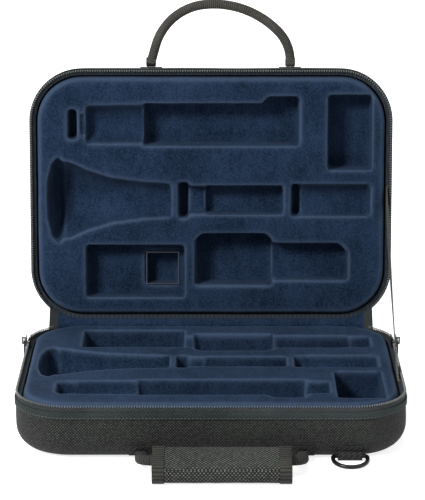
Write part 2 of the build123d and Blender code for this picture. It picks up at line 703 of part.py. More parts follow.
# ---------------------------------------------------------------- D-ring
eye_radius = ring_wire / 2 + ring_play + ring_tab_thickness
ring_y, ring_z = rounding_point(ring_root_angle, edge_rounding + eye_radius)
ring_span = ring_leg + ring_width / 2
ring_drop = ring_z - ring_wire / 2 - ring_foot
ring_plane = Plane(origin=(ring_x, ring_y, ring_z), x_dir=(1, 0, 0),
                   z_dir=Vector(1, 0, 0).cross(Vector(0, -sqrt(ring_span ** 2 - ring_drop ** 2), -ring_drop)))
with BuildPart() as d_ring:
    half = ring_width / 2
    with BuildLine(ring_plane) as ring_path:
        Line((0, 0), (half - ring_bend, 0))
        CenterArc((half - ring_bend, ring_bend), ring_bend, -90, 90)
        Line((half, ring_bend), (half, ring_leg))
        CenterArc((0, ring_leg), half, 0, 180)
        Line((-half, ring_leg), (-half, ring_bend))
        CenterArc((-half + ring_bend, ring_bend), ring_bend, 180, 90)
        Line((-half + ring_bend, 0), (0, 0))
    with BuildSketch(Plane(origin=(ring_x, ring_y, ring_z), z_dir=(1, 0, 0))):
        RegularPolygon(ring_wire / 2, ring_sides)
    sweep()
keep("d_ring", d_ring.part)

with BuildPart() as d_ring_tab:
    add(make_patch(base_frame, base_height, ring_x, base_height - patch_top, base_height - patch_foot,
                   ring_tab_width))
    with BuildSketch(Plane.YZ.offset(ring_x)):
        with Locations((ring_y, ring_z)):
            Circle(eye_radius)
            Circle(ring_wire / 2 + ring_play, mode=Mode.SUBTRACT)
    extrude(amount=ring_tab_width / 2, both=True)
    add(tray(base_frame, band_thickness, skin_edge_depth, base_height, edge_rounding), mode=Mode.SUBTRACT)
keep("d_ring_tab", d_ring_tab.part)
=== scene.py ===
# %% [markdown]
# # A soft clarinet case, standing open
# The case is packed as solids that already sit in their places: two zip-around halves, their moulded
# inserts, handles, ring and sliders. This lesson dresses those solids as cloth, plush, webbing and
# painted metal. Everything is in metres, with the origin in the middle of the flat bottom.

# %% Load the frame
import json
import math

import bpy
import numpy as np
from mathutils import Matrix, Vector


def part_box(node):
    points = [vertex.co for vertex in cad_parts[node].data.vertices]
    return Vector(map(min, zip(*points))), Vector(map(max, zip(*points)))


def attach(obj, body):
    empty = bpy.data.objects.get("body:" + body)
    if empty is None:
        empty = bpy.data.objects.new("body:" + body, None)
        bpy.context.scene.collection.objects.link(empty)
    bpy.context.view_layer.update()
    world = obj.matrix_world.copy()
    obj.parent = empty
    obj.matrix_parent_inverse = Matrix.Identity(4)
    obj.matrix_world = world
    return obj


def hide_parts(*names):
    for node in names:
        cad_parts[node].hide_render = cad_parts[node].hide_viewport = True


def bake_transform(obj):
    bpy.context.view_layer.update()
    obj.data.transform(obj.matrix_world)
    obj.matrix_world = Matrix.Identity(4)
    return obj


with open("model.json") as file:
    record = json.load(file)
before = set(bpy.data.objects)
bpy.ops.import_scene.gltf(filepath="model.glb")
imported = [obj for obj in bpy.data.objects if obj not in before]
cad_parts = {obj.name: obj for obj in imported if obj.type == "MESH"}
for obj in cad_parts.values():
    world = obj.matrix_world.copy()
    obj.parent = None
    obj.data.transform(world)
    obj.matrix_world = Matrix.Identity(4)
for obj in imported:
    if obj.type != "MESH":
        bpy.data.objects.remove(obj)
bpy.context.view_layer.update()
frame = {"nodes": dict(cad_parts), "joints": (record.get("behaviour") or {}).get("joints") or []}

# %% [markdown]
# The few sizes that several pieces share. The outer size and the hinge are read from the frame; the
# rest are the thicknesses and depths that such a case is sewn with. Depth is measured from the plane
# of the rim, where the two halves meet.

# %% Shared sizes
mm = 0.001
band_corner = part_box("base_rim_binding")[1]
half_width = band_corner.x
half_depth = band_corner.y
joints = {joint["name"]: joint for joint in frame["joints"]}
rim_height = joints["lid_hinge"]["pos_m"][2]
corner_radius = 48 * mm
lid_height = 43.5 * mm
lid_lean = math.radians(6)
edge_rounding = 18 * mm

band_inset = 1.2 * mm               # the skin lies this far inside the binding
band_depth = 6.5 * mm
band_width = 6.0 * mm
skin_edge_depth = 9.0 * mm
tape_inset = 1.4 * mm
tape_thickness = 0.8 * mm
coil_radius = 1.1 * mm
coil_depth = 1.7 * mm
hinge_half_width = half_width - 17 * mm
print("case", round(2 * half_width, 4), "by", round(2 * half_depth, 4), "rim at", rim_height)

# %% [markdown]
# Both halves are sewn to the same pattern, so every piece of a half is modelled lying flat, in the
# base's place, and the lid's copy is then turned about the hinge into its open place.

# %% Place of each half
turned_lid = Matrix((
    (-1, 0, 0, 0),
    (0, -math.sin(lid_lean), -math.cos(lid_lean),
     half_depth * (1 + math.sin(lid_lean)) + rim_height * math.cos(lid_lean)),
    (0, -math.cos(lid_lean), math.sin(lid_lean),
     rim_height * (1 - math.sin(lid_lean)) + half_depth * math.cos(lid_lean)),
    (0, 0, 0, 1)))
half_place = {"base": Matrix.Identity(4), "lid": turned_lid}
half_height = {"base": rim_height, "lid": lid_height}
print("lid's rim middle stands at", turned_lid @ Vector((0, -half_depth, rim_height)))

# %% [markdown]
# Small helpers for the steps that come again and again. Blender's operators work on what is chosen
# and on the mode it is in, so choosing a piece and going in and out of edit mode come first. Then
# come applying modifiers and copying a solid of the frame, whose mesh has to stay as it is.

# %% Choosing, editing and copying
weld_distance = 0.002 * mm


def choose(piece):
    """Select one piece only and make it active."""
    bpy.ops.object.select_all(action="DESELECT")
    piece.select_set(True)
    bpy.context.view_layer.objects.active = piece


def edit_all():
    """Go into edit mode with the whole mesh selected."""
    bpy.ops.object.mode_set(mode="EDIT")
    bpy.ops.mesh.select_all(action="SELECT")


def leave_edit():
    """Go back to object mode."""
    bpy.ops.object.mode_set(mode="OBJECT")


def finish_modifiers(piece):
    """Apply a piece's modifiers, first to last."""
    choose(piece)
    for modifier in list(piece.modifiers):
        bpy.ops.object.modifier_apply(modifier=modifier.name)


def copy_of(node, name):
    """A copy of a solid's mesh with its loose triangles joined, ready to be shaped."""
    piece = bpy.data.objects.new(name, frame["nodes"][node].data.copy())
    bpy.context.scene.collection.objects.link(piece)
    piece.data.materials.clear()
    choose(piece)
    edit_all()
    bpy.ops.mesh.remove_doubles(threshold=weld_distance)
    leave_edit()
    return piece


def smooth(piece, angle):
    """Smooth shading, with edges sharper than the angle in degrees left crisp."""
    choose(piece)
    bpy.ops.object.shade_smooth_by_angle(angle=math.radians(angle))


print("welding copies at", weld_distance, "m")

# %% [markdown]
# A few modifiers come back on many pieces: an even mesh of small squares, a thickness for a sheet,
# and bevelled edges. Points are moved in bulk as arrays, which is much faster than one at a time.

# %% Modifiers and arrays
def even_mesh(piece, voxel):
    """Small squares of one size all over a closed piece."""
    squares = piece.modifiers.new("even mesh", "REMESH")
    squares.mode = "VOXEL"
    squares.voxel_size = voxel


def give_thickness(piece, thickness, offset=0):
    """Turn a sheet into cloth: offset 0 grows to both sides, -1 inwards only."""
    cloth_wall = piece.modifiers.new("thickness", "SOLIDIFY")
    cloth_wall.thickness = thickness
    cloth_wall.offset = offset


def soft_edges(piece, width, segments=2, sharper_than=30):
    """Round the edges that bend by more than an angle in degrees."""
    edge = piece.modifiers.new("soft edges", "BEVEL")
    edge.width = width
    edge.segments = segments
    edge.limit_method = "ANGLE"
    edge.angle_limit = math.radians(sharper_than)


def flat_grid(name, columns, rows):
    """Grid from -1 to 1 along X and Y, whose points are then laid out in code."""
    bpy.ops.object.select_all(action="DESELECT")
    bpy.ops.mesh.primitive_grid_add(x_subdivisions=columns, y_subdivisions=rows, size=2)
    piece = bpy.context.object
    piece.name = name
    return piece


def read(items, field, width, kind=float):
    """One field of a mesh's vertices, edges or loops as an array."""
    values = np.empty(len(items) * width, kind)
    items.foreach_get(field, values)
    return values.reshape(-1, width) if width > 1 else values


def move_points(piece, co):
    """Write an array of places back to a piece's points."""
    piece.data.vertices.foreach_set("co", co.astype(np.float32).ravel())
    piece.data.update()


print("modifier helpers ready")

# %% [markdown]
# Every finished piece gets a material, a body of the frame to ride on and the solids that it stands
# for. One function does it all, so that none of them is forgotten.

# %% Dressing a piece
def dress(piece, material, body, slot, *nodes):
    """Give a finished piece its material and body, and let it stand for solids of the frame."""
    piece.data.materials.clear()
    piece.data.materials.append(material)
    if body:
        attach(piece, body)
    if nodes:
        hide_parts(*nodes)
    print(piece.name, len(piece.data.polygons), "faces, for", ", ".join(nodes) or "no solid")


def redress(node, material):
    """Give a solid that stays in view its material; its mesh isn't touched."""
    frame["nodes"][node].data.materials.clear()
    frame["nodes"][node].data.materials.append(material)


# %% [markdown]
# Cloth needs a flat map in real metres, so that a weave has the same size everywhere. Along the wall
# the map runs round the rim (U) and down from it (V); on the flat panel it is simply X and Y. Rows of
# stitches follow the rim, so a second map keeps U and V everywhere.

# %% Maps for cloth
def along_rim(x, y, side):
    """Distance round the rim from the middle of the front, growing to both sides."""
    across = half_width - corner_radius
    along = half_depth - corner_radius
    x = x * side
    turn = corner_radius * math.pi / 2
    front_angle = np.arctan2(x - across, -(y + along))
    rear_angle = np.arctan2(y - along, x - across)
    u = np.where(x <= across, x, across + corner_radius * np.clip(front_angle, 0, math.pi / 2))
    beside = (x > across) & (y > -along)
    u = np.where(beside, across + turn + y + along, u)
    rear = (x > across) & (y > along)
    u = np.where(rear, across + turn + 2 * along + corner_radius * np.clip(rear_angle, 0, math.pi / 2), u)
    back = (x <= across) & (y > 0)
    u = np.where(back, across + 2 * turn + 2 * along + across - x, u)
    return u * side


def write_map(piece, name, u, v):
    """Write one U and V for each corner of each face."""
    layer = piece.data.uv_layers.get(name) or piece.data.uv_layers.new(name=name)
    layer.data.foreach_set("uv", np.column_stack((u, v)).astype(np.float32).ravel())


def map_half(piece):
    """Cloth and Rim maps for a piece that still lies flat in the base's place."""
    panel_normal = 0.72             # a face that looks down by more than this is part of the panel
    mesh = piece.data
    co = read(mesh.vertices, "co", 3)
    corners = read(mesh.loops, "vertex_index", 1, np.int32)
    sizes = read(mesh.polygons, "loop_total", 1, np.int32)
    normal = np.repeat(read(mesh.polygons, "normal", 3), sizes, axis=0)
    centre = np.repeat(read(mesh.polygons, "center", 3), sizes, axis=0)
    at = co[corners]
    side = np.where(centre[:, 0] < 0, -1.0, 1.0)
    u = along_rim(at[:, 0], at[:, 1], side)
    v = rim_height - at[:, 2]
    flat = np.abs(normal[:, 2]) > panel_normal
    write_map(piece, "Rim", u, v)
    write_map(piece, "Cloth", np.where(flat, at[:, 0], u), np.where(flat, at[:, 1], v))


def map_by_side(piece):
    """Cloth map for a small piece: each face seen straight on."""
    mesh = piece.data
    at = read(mesh.vertices, "co", 3)[read(mesh.loops, "vertex_index", 1, np.int32)]
    sizes = read(mesh.polygons, "loop_total", 1, np.int32)
    normal = np.abs(np.repeat(read(mesh.polygons, "normal", 3), sizes, axis=0))
    widest = normal.argmax(axis=1)
    u = np.where(widest == 0, at[:, 1], at[:, 0])
    v = np.where(widest == 2, at[:, 1], at[:, 2])
    write_map(piece, "Cloth", u, v)


def set_in_place(piece, half):
    """Turn a piece of a half from lying flat into its real place."""
    piece.data.transform(half_place[half])
    piece.data.update()


rim_middle = along_rim(np.array([half_width]), np.array([0.0]), 1)[0]
print("round the rim, front middle to side middle:", round(float(rim_middle), 4), "m")

# %% [markdown]
# ## Shader groups
# The same effects come back on several cloths, so each is a node group with named inputs. The first
# is a weave: two families of threads cross, and at each crossing one of them lies on top. It takes a
# place on the cloth in metres and gives a height and a tone. The tone is partly painted shade: the
# crown of each thread on top is painted lighter and the threads beneath darker, as light falls on
# the weave's relief. A picture of cloth could do the same, but it would blur close up and repeat;
# here each crossing is worked out, and a random number for each keeps the threads from being all
# alike, which is real thread tone.

# %% Group tools
def new_group(name, inputs, outputs):
    """Empty shader group with its sockets; returns the tree and its two end nodes."""
    tree = bpy.data.node_groups.new(name, "ShaderNodeTree")
    for label, kind, value in inputs:
        socket = tree.interface.new_socket(name=label, in_out="INPUT", socket_type=kind)
        if value is not None:
            socket.default_value = value
    for label, kind in outputs:
        tree.interface.new_socket(name=label, in_out="OUTPUT", socket_type=kind)
    return tree, tree.nodes.new("NodeGroupInput"), tree.nodes.new("NodeGroupOutput")


def put(socket, value):
    """Set a socket to a value, or link another socket to it."""
    if isinstance(value, bpy.types.NodeSocket):
        socket.id_data.links.new(value, socket)
    else:
        socket.default_value = value


def maths(tree, operation, *values):
    """One Math node; every value is a number or a socket."""
    node = tree.nodes.new("ShaderNodeMath")
    node.operation = operation
    for socket, value in zip(node.inputs, values):
        put(socket, value)
    return node.outputs[0]


def between(tree, value, low, high):
    """0 below low, 1 above high, and a soft step in between."""
    node = tree.nodes.new("ShaderNodeMapRange")
    node.interpolation_type = "SMOOTHSTEP"
    put(node.inputs["Value"], value)
    put(node.inputs["From Min"], low)
    put(node.inputs["From Max"], high)
    return node.outputs["Result"]


def times(tree, first, second):
    """The product of two values."""
    return maths(tree, "MULTIPLY", first, second)


def hump(tree, value):
    """Half a wave for each unit of value: 0 at whole numbers, 1 or -1 half way."""
    return maths(tree, "SINE", times(tree, value, math.pi))


def noise(tree, place, scale, detail, rough):
    """Cloudy noise around 0.5; a larger scale gives smaller clouds."""
    node = tree.nodes.new("ShaderNodeTexNoise")
    put(node.inputs["Vector"], place)
    put(node.inputs["Scale"], scale)
    put(node.inputs["Detail"], detail)
    put(node.inputs["Roughness"], rough)
    return node.outputs["Fac"]


def blend_colours(tree, factor, first, second):
    """The first colour at factor 0, the second at factor 1."""
    node = tree.nodes.new("ShaderNodeMix")
    node.data_type = "RGBA"
    put(node.inputs[0], factor)
    put(node.inputs[6], first)
    put(node.inputs[7], second)
    return node.outputs[2]


print("group tools ready")

# %% Weave group
weave, start, end = new_group(
    "woven_cloth",
    [("Place", "NodeSocketVector", None), ("Pitch", "NodeSocketFloat", 0.001),
     ("Step", "NodeSocketFloat", 1.0), ("Repeat", "NodeSocketFloat", 4.0),
     ("Unevenness", "NodeSocketFloat", 0.5)],
    [("Height", "NodeSocketFloat"), ("Shade_And_Tone", "NodeSocketFloat")])
split = weave.nodes.new("ShaderNodeSeparateXYZ")
put(split.inputs[0], start.outputs["Place"])
across = maths(weave, "DIVIDE", split.outputs[0], start.outputs["Pitch"])
down = maths(weave, "DIVIDE", split.outputs[1], start.outputs["Pitch"])
column = maths(weave, "FLOOR", across)
row = maths(weave, "FLOOR", down)
stepped = maths(weave, "MULTIPLY_ADD", row, start.outputs["Step"], column)
in_repeat = maths(weave, "FRACT", maths(weave, "DIVIDE", stepped, start.outputs["Repeat"]))
on_top = maths(weave, "GREATER_THAN", in_repeat, 0.49)      # half of each repeat, safe from rounding
bump_across = hump(weave, maths(weave, "FRACT", across))
bump_down = hump(weave, maths(weave, "FRACT", down))
mixed = weave.nodes.new("ShaderNodeMix")
put(mixed.inputs[0], on_top)
put(mixed.inputs[2], bump_across)
put(mixed.inputs[3], bump_down)
cell = weave.nodes.new("ShaderNodeCombineXYZ")
put(cell.inputs[0], column)
put(cell.inputs[1], row)
speckle = weave.nodes.new("ShaderNodeTexWhiteNoise")
speckle.noise_dimensions = "2D"
put(speckle.inputs["Vector"], cell.outputs[0])
lift = maths(weave, "MULTIPLY_ADD", on_top, 0.35, times(weave, mixed.outputs[0], 0.65))
put(end.inputs["Height"], lift)
uneven = times(weave, speckle.outputs["Value"], start.outputs["Unevenness"])
# Painted shade: a thread on top is lighter along its crown and the threads beneath are dark, as light falls
# on the relief; the random unevenness is real thread tone.
thread_shade_and_tone = times(weave, times(weave, on_top, mixed.outputs[0]), maths(weave, "SUBTRACT", 1.0, uneven))
put(end.inputs["Shade_And_Tone"], maths(weave, "MULTIPLY_ADD", uneven, 0.08, thread_shade_and_tone))
print("group", weave.name, len(weave.nodes), "nodes")

# %% [markdown]
# The second group is a row of stitches: short dashes at a steady pitch along U, on one line of V,
# with a groove on both sides where the thread pulls the cloth down. Real stitches could be modelled,
# but there are hundreds, and each is half a millimetre wide. The third group is soft fading and lint.

# %% Stitch and fading groups
stitches, start, end = new_group(
    "stitch_row",
    [("Place", "NodeSocketVector", None), ("Row", "NodeSocketFloat", 0.0),
     ("Pitch", "NodeSocketFloat", 0.003), ("Width", "NodeSocketFloat", 0.0007)],
    [("Thread", "NodeSocketFloat"), ("Height", "NodeSocketFloat")])
split = stitches.nodes.new("ShaderNodeSeparateXYZ")
put(split.inputs[0], start.outputs["Place"])
along = maths(stitches, "FRACT", maths(stitches, "DIVIDE", split.outputs[0], start.outputs["Pitch"]))
dash = hump(stitches, along)
off_row = maths(stitches, "ABSOLUTE", maths(stitches, "SUBTRACT", split.outputs[1], start.outputs["Row"]))
widths_off = maths(stitches, "DIVIDE", off_row, start.outputs["Width"])
near_row = maths(stitches, "SUBTRACT", 1.0, between(stitches, widths_off, 0.4, 1.0))
thread = times(stitches, near_row, between(stitches, dash, 0.35, 0.6))
groove = maths(stitches, "SUBTRACT", 1.0, between(stitches, widths_off, 0.5, 2.2))
put(end.inputs["Thread"], thread)
put(end.inputs["Height"], maths(stitches, "SUBTRACT", times(stitches, thread, 1.3), groove))

fading, start, end = new_group(
    "fading",
    [("Place", "NodeSocketVector", None), ("Scale", "NodeSocketFloat", 12.0)],
    [("Cloud", "NodeSocketFloat"), ("Lint", "NodeSocketFloat")])
put(end.inputs["Cloud"], noise(fading, start.outputs["Place"], start.outputs["Scale"], 4.0, 0.6))
lint_scale = 900.0
specks = noise(fading, start.outputs["Place"], lint_scale, 2.0, 0.7)
put(end.inputs["Lint"], between(fading, specks, 0.66, 0.8))
print("groups", stitches.name, "and", fading.name)

# %% [markdown]
# ## Materials
# Each finish is a short function that builds a node tree round a Principled shader. The groups give
# it colours and heights; the shader itself stays in the material, with plain numbers for roughness,
# sheen and specular level.

# %% Material tools
def group_node(tree, group, **values):
    node = tree.nodes.new("ShaderNodeGroup")
    node.node_tree = group
    for label, value in values.items():
        put(node.inputs[label], value)
    return node


def new_material(name):
    material = bpy.data.materials.new(name)
    material.use_nodes = True
    tree = material.node_tree
    return material, tree, tree.nodes["Principled BSDF"]


def set_levels(shader, **levels):
    """Set plain numbers or colours on a shader; Sheen_Weight stands for Sheen Weight."""
    for label, level in levels.items():
        shader.inputs[label.replace("_", " ")].default_value = level


def map_place(tree, name):
    node = tree.nodes.new("ShaderNodeUVMap")
    node.uv_map = name
    return node.outputs[0]


def object_place(tree):
    return tree.nodes.new("ShaderNodeTexCoord").outputs["Object"]


def bump(tree, height, distance, strength=1.0):
    node = tree.nodes.new("ShaderNodeBump")
    put(node.inputs["Height"], height)
    put(node.inputs["Distance"], distance)
    put(node.inputs["Strength"], strength)
    return node.outputs[0]


def paler(colour, factor):
    """The same colour, lighter by a factor."""
    return tuple(min(1, factor * level) for level in colour[:3]) + (1,)


print("material tools ready")

# %% [markdown]
# The case's skin is coarse nylon, its binding and zip tapes are finer and a little green, and the
# stay and stops are ribbon. All of them are the same woven cloth with other threads: the pitch is
# the distance from thread to thread, and a repeat of 2 gives a plain weave, of 4 a twill.

# %% Woven cloths
stitch_pitch = 3.2 * mm
stitch_width = 0.5 * mm


def cloth(name, dark, light, pitch, depth, step=1.0, repeat=4.0, rough=0.85, sheen=0.02, uneven=0.5,
          faded=0.35, stitch_rows=(), thread_colour=(0.2, 0.2, 0.18, 1)):
    """Woven cloth between a dark and a light colour, with rows of stitches at depths below the rim."""
    material, tree, shader = new_material(name)
    place = map_place(tree, "Cloth")
    woven = group_node(tree, weave, Place=place, Pitch=pitch, Step=step, Repeat=repeat, Unevenness=uneven)
    aged = group_node(tree, fading, Place=object_place(tree), Scale=9.0)
    # The weave's tone sets the colour: partly painted shade on the thread relief, partly random thread tone.
    colour = blend_colours(tree, woven.outputs["Shade_And_Tone"], dark, light)
    cloud = times(tree, between(tree, aged.outputs["Cloud"], 0.35, 0.75), faded)
    colour = blend_colours(tree, cloud, colour, paler(light, 1.45))
    height = woven.outputs["Height"]
    for row_depth in stitch_rows:
        sewn = group_node(tree, stitches, Place=map_place(tree, "Rim"), Row=row_depth, Pitch=stitch_pitch,
                          Width=stitch_width)
        colour = blend_colours(tree, sewn.outputs["Thread"], colour, thread_colour)
        height = maths(tree, "ADD", height, times(tree, sewn.outputs["Height"], 1.6))
    put(shader.inputs["Base Color"], colour)
    put(shader.inputs["Normal"], bump(tree, height, depth))
    set_levels(shader, Roughness=rough, Sheen_Weight=sheen, Sheen_Roughness=0.6, Specular_IOR_Level=0.15)
    return material


nylon = cloth("nylon", (0.003, 0.0032, 0.003, 1), (0.074, 0.080, 0.074, 1), 1.25 * mm,
              depth=0.35 * mm, repeat=2.0, rough=0.75, uneven=0.8, faded=0.12)
binding_tape = cloth("binding_tape", (0.006, 0.009, 0.009, 1), (0.055, 0.070, 0.071, 1), 0.7 * mm, step=3.0,
                     depth=0.2 * mm, stitch_rows=(11.4 * mm,), thread_colour=(0.08, 0.095, 0.09, 1))
zip_tape = cloth("zip_tape", (0.008, 0.010, 0.010, 1), (0.064, 0.074, 0.075, 1), 0.8 * mm, step=2.0,
                 depth=0.15 * mm, sheen=0.03)
ribbon = cloth("ribbon", (0.014, 0.016, 0.014, 1), (0.17, 0.178, 0.155, 1), 0.8 * mm, step=3.0,
               depth=0.15 * mm, rough=0.6, sheen=0.05)
patch_webbing = cloth("patch_webbing", (0.003, 0.003, 0.003, 1), (0.052, 0.055, 0.051, 1), 1.2 * mm, step=3.0,
                      depth=0.3 * mm)
print("cloths:", [m.name for m in (nylon, binding_tape, zip_tape, ribbon, patch_webbing)])

# %% [markdown]
# Plush is not woven: it is a pile of short fibres that lean one way or another, so it shows soft
# clouds and streaks where it was brushed. Along every edge that bends outwards the colour is painted
# paler, a painted highlight for light catching the pile there; its mask is an attribute measured on
# the mesh further down. The sheen does the rest.

# %% Plush material
lint_colour = (0.09, 0.12, 0.19, 1)
bound_colour = (0.028, 0.032, 0.031, 1)


def plush(name, deep, middle, pale, bound_from=None):
    """Short pile; with bound_from, cloth beyond that distance from the middle is dark binding instead."""
    material, tree, shader = new_material(name)
    place = object_place(tree)
    nap = noise(tree, place, 620.0, 3.0, 0.75)
    brushed = tree.nodes.new("ShaderNodeMapping")
    brushed.inputs["Scale"].default_value = (1.0, 0.35, 0.35)     # streaks three times as long
    put(brushed.inputs["Vector"], place)
    streak = noise(tree, brushed.outputs[0], 150.0, 4.0, 0.65)
    aged = group_node(tree, fading, Place=place, Scale=22.0)
    tone = maths(tree, "MULTIPLY_ADD", nap, 0.75, times(tree, streak, 0.25))
    tone = maths(tree, "MULTIPLY_ADD", aged.outputs["Cloud"], 0.3, times(tree, tone, 0.85))
    colour = blend_colours(tree, between(tree, tone, 0.42, 0.72), deep, middle)
    # Painted highlight: where the mesh bends outwards the colour is blended towards the third, paler colour,
    # as if light caught the pile.
    edge_highlight = tree.nodes.new("ShaderNodeAttribute")
    edge_highlight.attribute_name = "edge_highlight"
    edge = times(tree, edge_highlight.outputs["Fac"], maths(tree, "MULTIPLY_ADD", nap, 0.6, 0.5))
    colour = blend_colours(tree, edge, colour, pale)
    colour = blend_colours(tree, times(tree, aged.outputs["Lint"], 0.25), colour, lint_colour)
    if bound_from:
        split = tree.nodes.new("ShaderNodeSeparateXYZ")
        put(split.inputs[0], place)
        off_middle = maths(tree, "ABSOLUTE", split.outputs[0])
        outside = between(tree, off_middle, bound_from - 0.3 * mm, bound_from + 0.3 * mm)
        colour = blend_colours(tree, outside, colour, bound_colour)
    put(shader.inputs["Base Color"], colour)
    put(shader.inputs["Normal"], bump(tree, tone, 0.8 * mm, 0.6))
    set_levels(shader, Roughness=1.0, Specular_IOR_Level=0.1, Sheen_Weight=0.06, Sheen_Roughness=0.45,
               Sheen_Tint=(0.40, 0.60, 0.95, 1))
    return material


# Deep and middle are the pile's random tones; the third colour is the painted highlight on outward edges.
navy = ((0.003, 0.009, 0.022, 1), (0.017, 0.034, 0.072, 1), (0.046, 0.073, 0.126, 1))
navy_plush = plush("navy_plush", *navy)
hinge_plush = plush("hinge_plush", *navy, bound_from=hinge_half_width - 8 * mm)
print("materials", navy_plush.name, "and", hinge_plush.name)

# %% [markdown]
# Metal and plastic are few here: black enamelled zinc for ring, sliders and pulls, a grey nylon coil,
# and the smooth moulded liner of the square well. Enamel is glossy, with a little rubbing.

# %% Hard materials
def enamel(name, colour, worn, rough, metallic):
    """Smooth coat with cloudy rubbed places, where it is paler and duller."""
    material, tree, shader = new_material(name)
    rubbed = between(tree, noise(tree, object_place(tree), 260.0, 5.0, 0.7), 0.6, 0.75)
    put(shader.inputs["Base Color"], blend_colours(tree, times(tree, rubbed, 0.35), colour, worn))
    put(shader.inputs["Roughness"], maths(tree, "MULTIPLY_ADD", rubbed, 0.25, rough))
    set_levels(shader, Metallic=metallic)
    return material


black_metal = enamel("black_metal", (0.012, 0.012, 0.013, 1), (0.10, 0.10, 0.10, 1), 0.22, metallic=0.6)
coil_plastic = enamel("coil_plastic", (0.13, 0.135, 0.13, 1), (0.24, 0.245, 0.24, 1), 0.4, metallic=0.0)
liner_plastic = enamel("liner_plastic", (0.030, 0.040, 0.065, 1), (0.12, 0.13, 0.16, 1), 0.35, metallic=0.0)
print("hard materials:", [m.name for m in (black_metal, coil_plastic, liner_plastic)])

# %% [markdown]
# ## Covers
# The outer skin is cloth stretched over a stiff board with rounded edges. It could be the packed
# solid, but its big flat triangles can't swell or carry a weave. A box is shaped instead: bevelled
# corners, a bevelled far edge, an even mesh from a remesh, a little fullness on the lid's panel, and
# a wall thickness at the end.

# %% Rounded box
corner_segments = 24


def rounded_outline(name, inset, height):
    """Flat face with the case's rounded plan, pulled in by inset, at a height."""
    bpy.ops.object.select_all(action="DESELECT")
    bpy.ops.mesh.primitive_plane_add(size=2, location=(0, 0, height))
    piece = bpy.context.object
    piece.name = name
    piece.scale = (half_width - inset, half_depth - inset, 1)
    bpy.ops.object.transform_apply(location=True, rotation=True, scale=True)
    edit_all()
    bpy.ops.mesh.select_mode(type="VERT")
    bpy.ops.mesh.bevel(offset=corner_radius - inset, segments=corner_segments, affect="VERTICES")
    leave_edit()
    return piece


def pick(piece, kind, test):
    """Go into edit mode with only the edges or faces that pass a test selected."""
    choose(piece)
    bpy.ops.object.mode_set(mode="EDIT")
    bpy.ops.mesh.select_mode(type=kind)
    bpy.ops.mesh.select_all(action="DESELECT")
    leave_edit()
    mesh = piece.data
    if kind == "FACE":
        for face in mesh.polygons:
            face.select = test(face)
    else:
        for edge in mesh.edges:
            edge.select = test(*(mesh.vertices[i].co for i in edge.vertices))
    bpy.ops.object.mode_set(mode="EDIT")


def tray(name, height):
    """Closed rounded tray with the skin's outer shape, from the skin's edge down to the panel."""
    top = rim_height - skin_edge_depth
    bottom = rim_height - height
    spare = 6 * mm                  # stands over the edge, and is cut off once the mesh is even
    piece = rounded_outline(name, band_inset, top + spare)
    edit_all()
    bpy.ops.mesh.extrude_region_move(TRANSFORM_OT_translate={"value": (0, 0, bottom - top - spare)})
    leave_edit()
    pick(piece, "EDGE", lambda a, b: max(a.z, b.z) < bottom + 0.1 * mm)
    bpy.ops.mesh.bevel(offset=edge_rounding, segments=10, profile=0.5, affect="EDGES")
    bpy.ops.mesh.select_all(action="SELECT")
    bpy.ops.mesh.normals_make_consistent(inside=False)
    leave_edit()
    return piece


print("rounded corners of", corner_radius, "m in", corner_segments, "steps")

# %% [markdown]
# The lid's panel is cloth over thin foam, so it is fullest in its middle. Blender's cloth simulation
# finds that shape: the panel is free, the walls are held, and a pressure pushes from inside for twenty
# frames. It can swell further than a case does, so the result is scaled back to a known height. The
# shape could be a simple dome, but cloth held along four edges pulls flat towards its corners.

# %% Cloth simulation
swelling_frames = 20


def blow_up(piece, pressure, most, free):
    """Swell the free points by pressure from inside, none of them further than most."""
    before = read(piece.data.vertices, "co", 3).copy()
    held = piece.vertex_groups.new(name="held")
    held.add([int(i) for i in np.flatnonzero(~free)], 1.0, "REPLACE")
    swelling = piece.modifiers.new("swelling", "CLOTH")
    swelling.settings.use_pressure = True
    swelling.settings.uniform_pressure_force = pressure
    swelling.settings.effector_weights.gravity = 0
    swelling.settings.vertex_group_mass = "held"
    for step in range(1, swelling_frames + 1):
        bpy.context.scene.frame_set(step)
    finish_modifiers(piece)
    bpy.context.scene.frame_set(1)
    piece.vertex_groups.clear()
    moved = read(piece.data.vertices, "co", 3) - before
    furthest = float(np.linalg.norm(moved, axis=1).max())
    share = min(1, most / max(furthest, 1e-9))
    move_points(piece, before + moved * share)
    finer = piece.modifiers.new("finer", "SUBSURF")
    finer.levels = finer.render_levels = 1
    finish_modifiers(piece)
    print(piece.name, "swelled by", round(furthest * 1000, 2), "mm, kept", round(share, 2), "of it")


print("cloth is simulated for", swelling_frames, "frames")

# %% [markdown]
# The walls of both covers are stiff and only get a few slow waves where the cloth was pulled tight.
# The lid's panel swells; the base stands on its panel, so that stays flat.

# %% Cover of each half
def wave_walls(piece, height, most):
    """Push the walls outwards by about most, with slow waves in the cloth."""
    co = read(piece.data.vertices, "co", 3)
    normal = read(piece.data.vertices, "normal", 3)
    bottom = rim_height - height
    rise = np.clip((co[:, 2] - bottom) / (height - skin_edge_depth), 0, 1)
    on_wall = (1 - np.abs(normal[:, 2])) * np.sin(math.pi * rise)
    round_way = along_rim(co[:, 0], co[:, 1], np.where(co[:, 0] < 0, -1.0, 1.0))
    ripple = np.sin(round_way * 61) * np.sin(co[:, 2] * 90 + round_way * 13)
    push = most * on_wall * (1 + 0.5 * ripple)
    move_points(piece, co + normal * push[:, None])


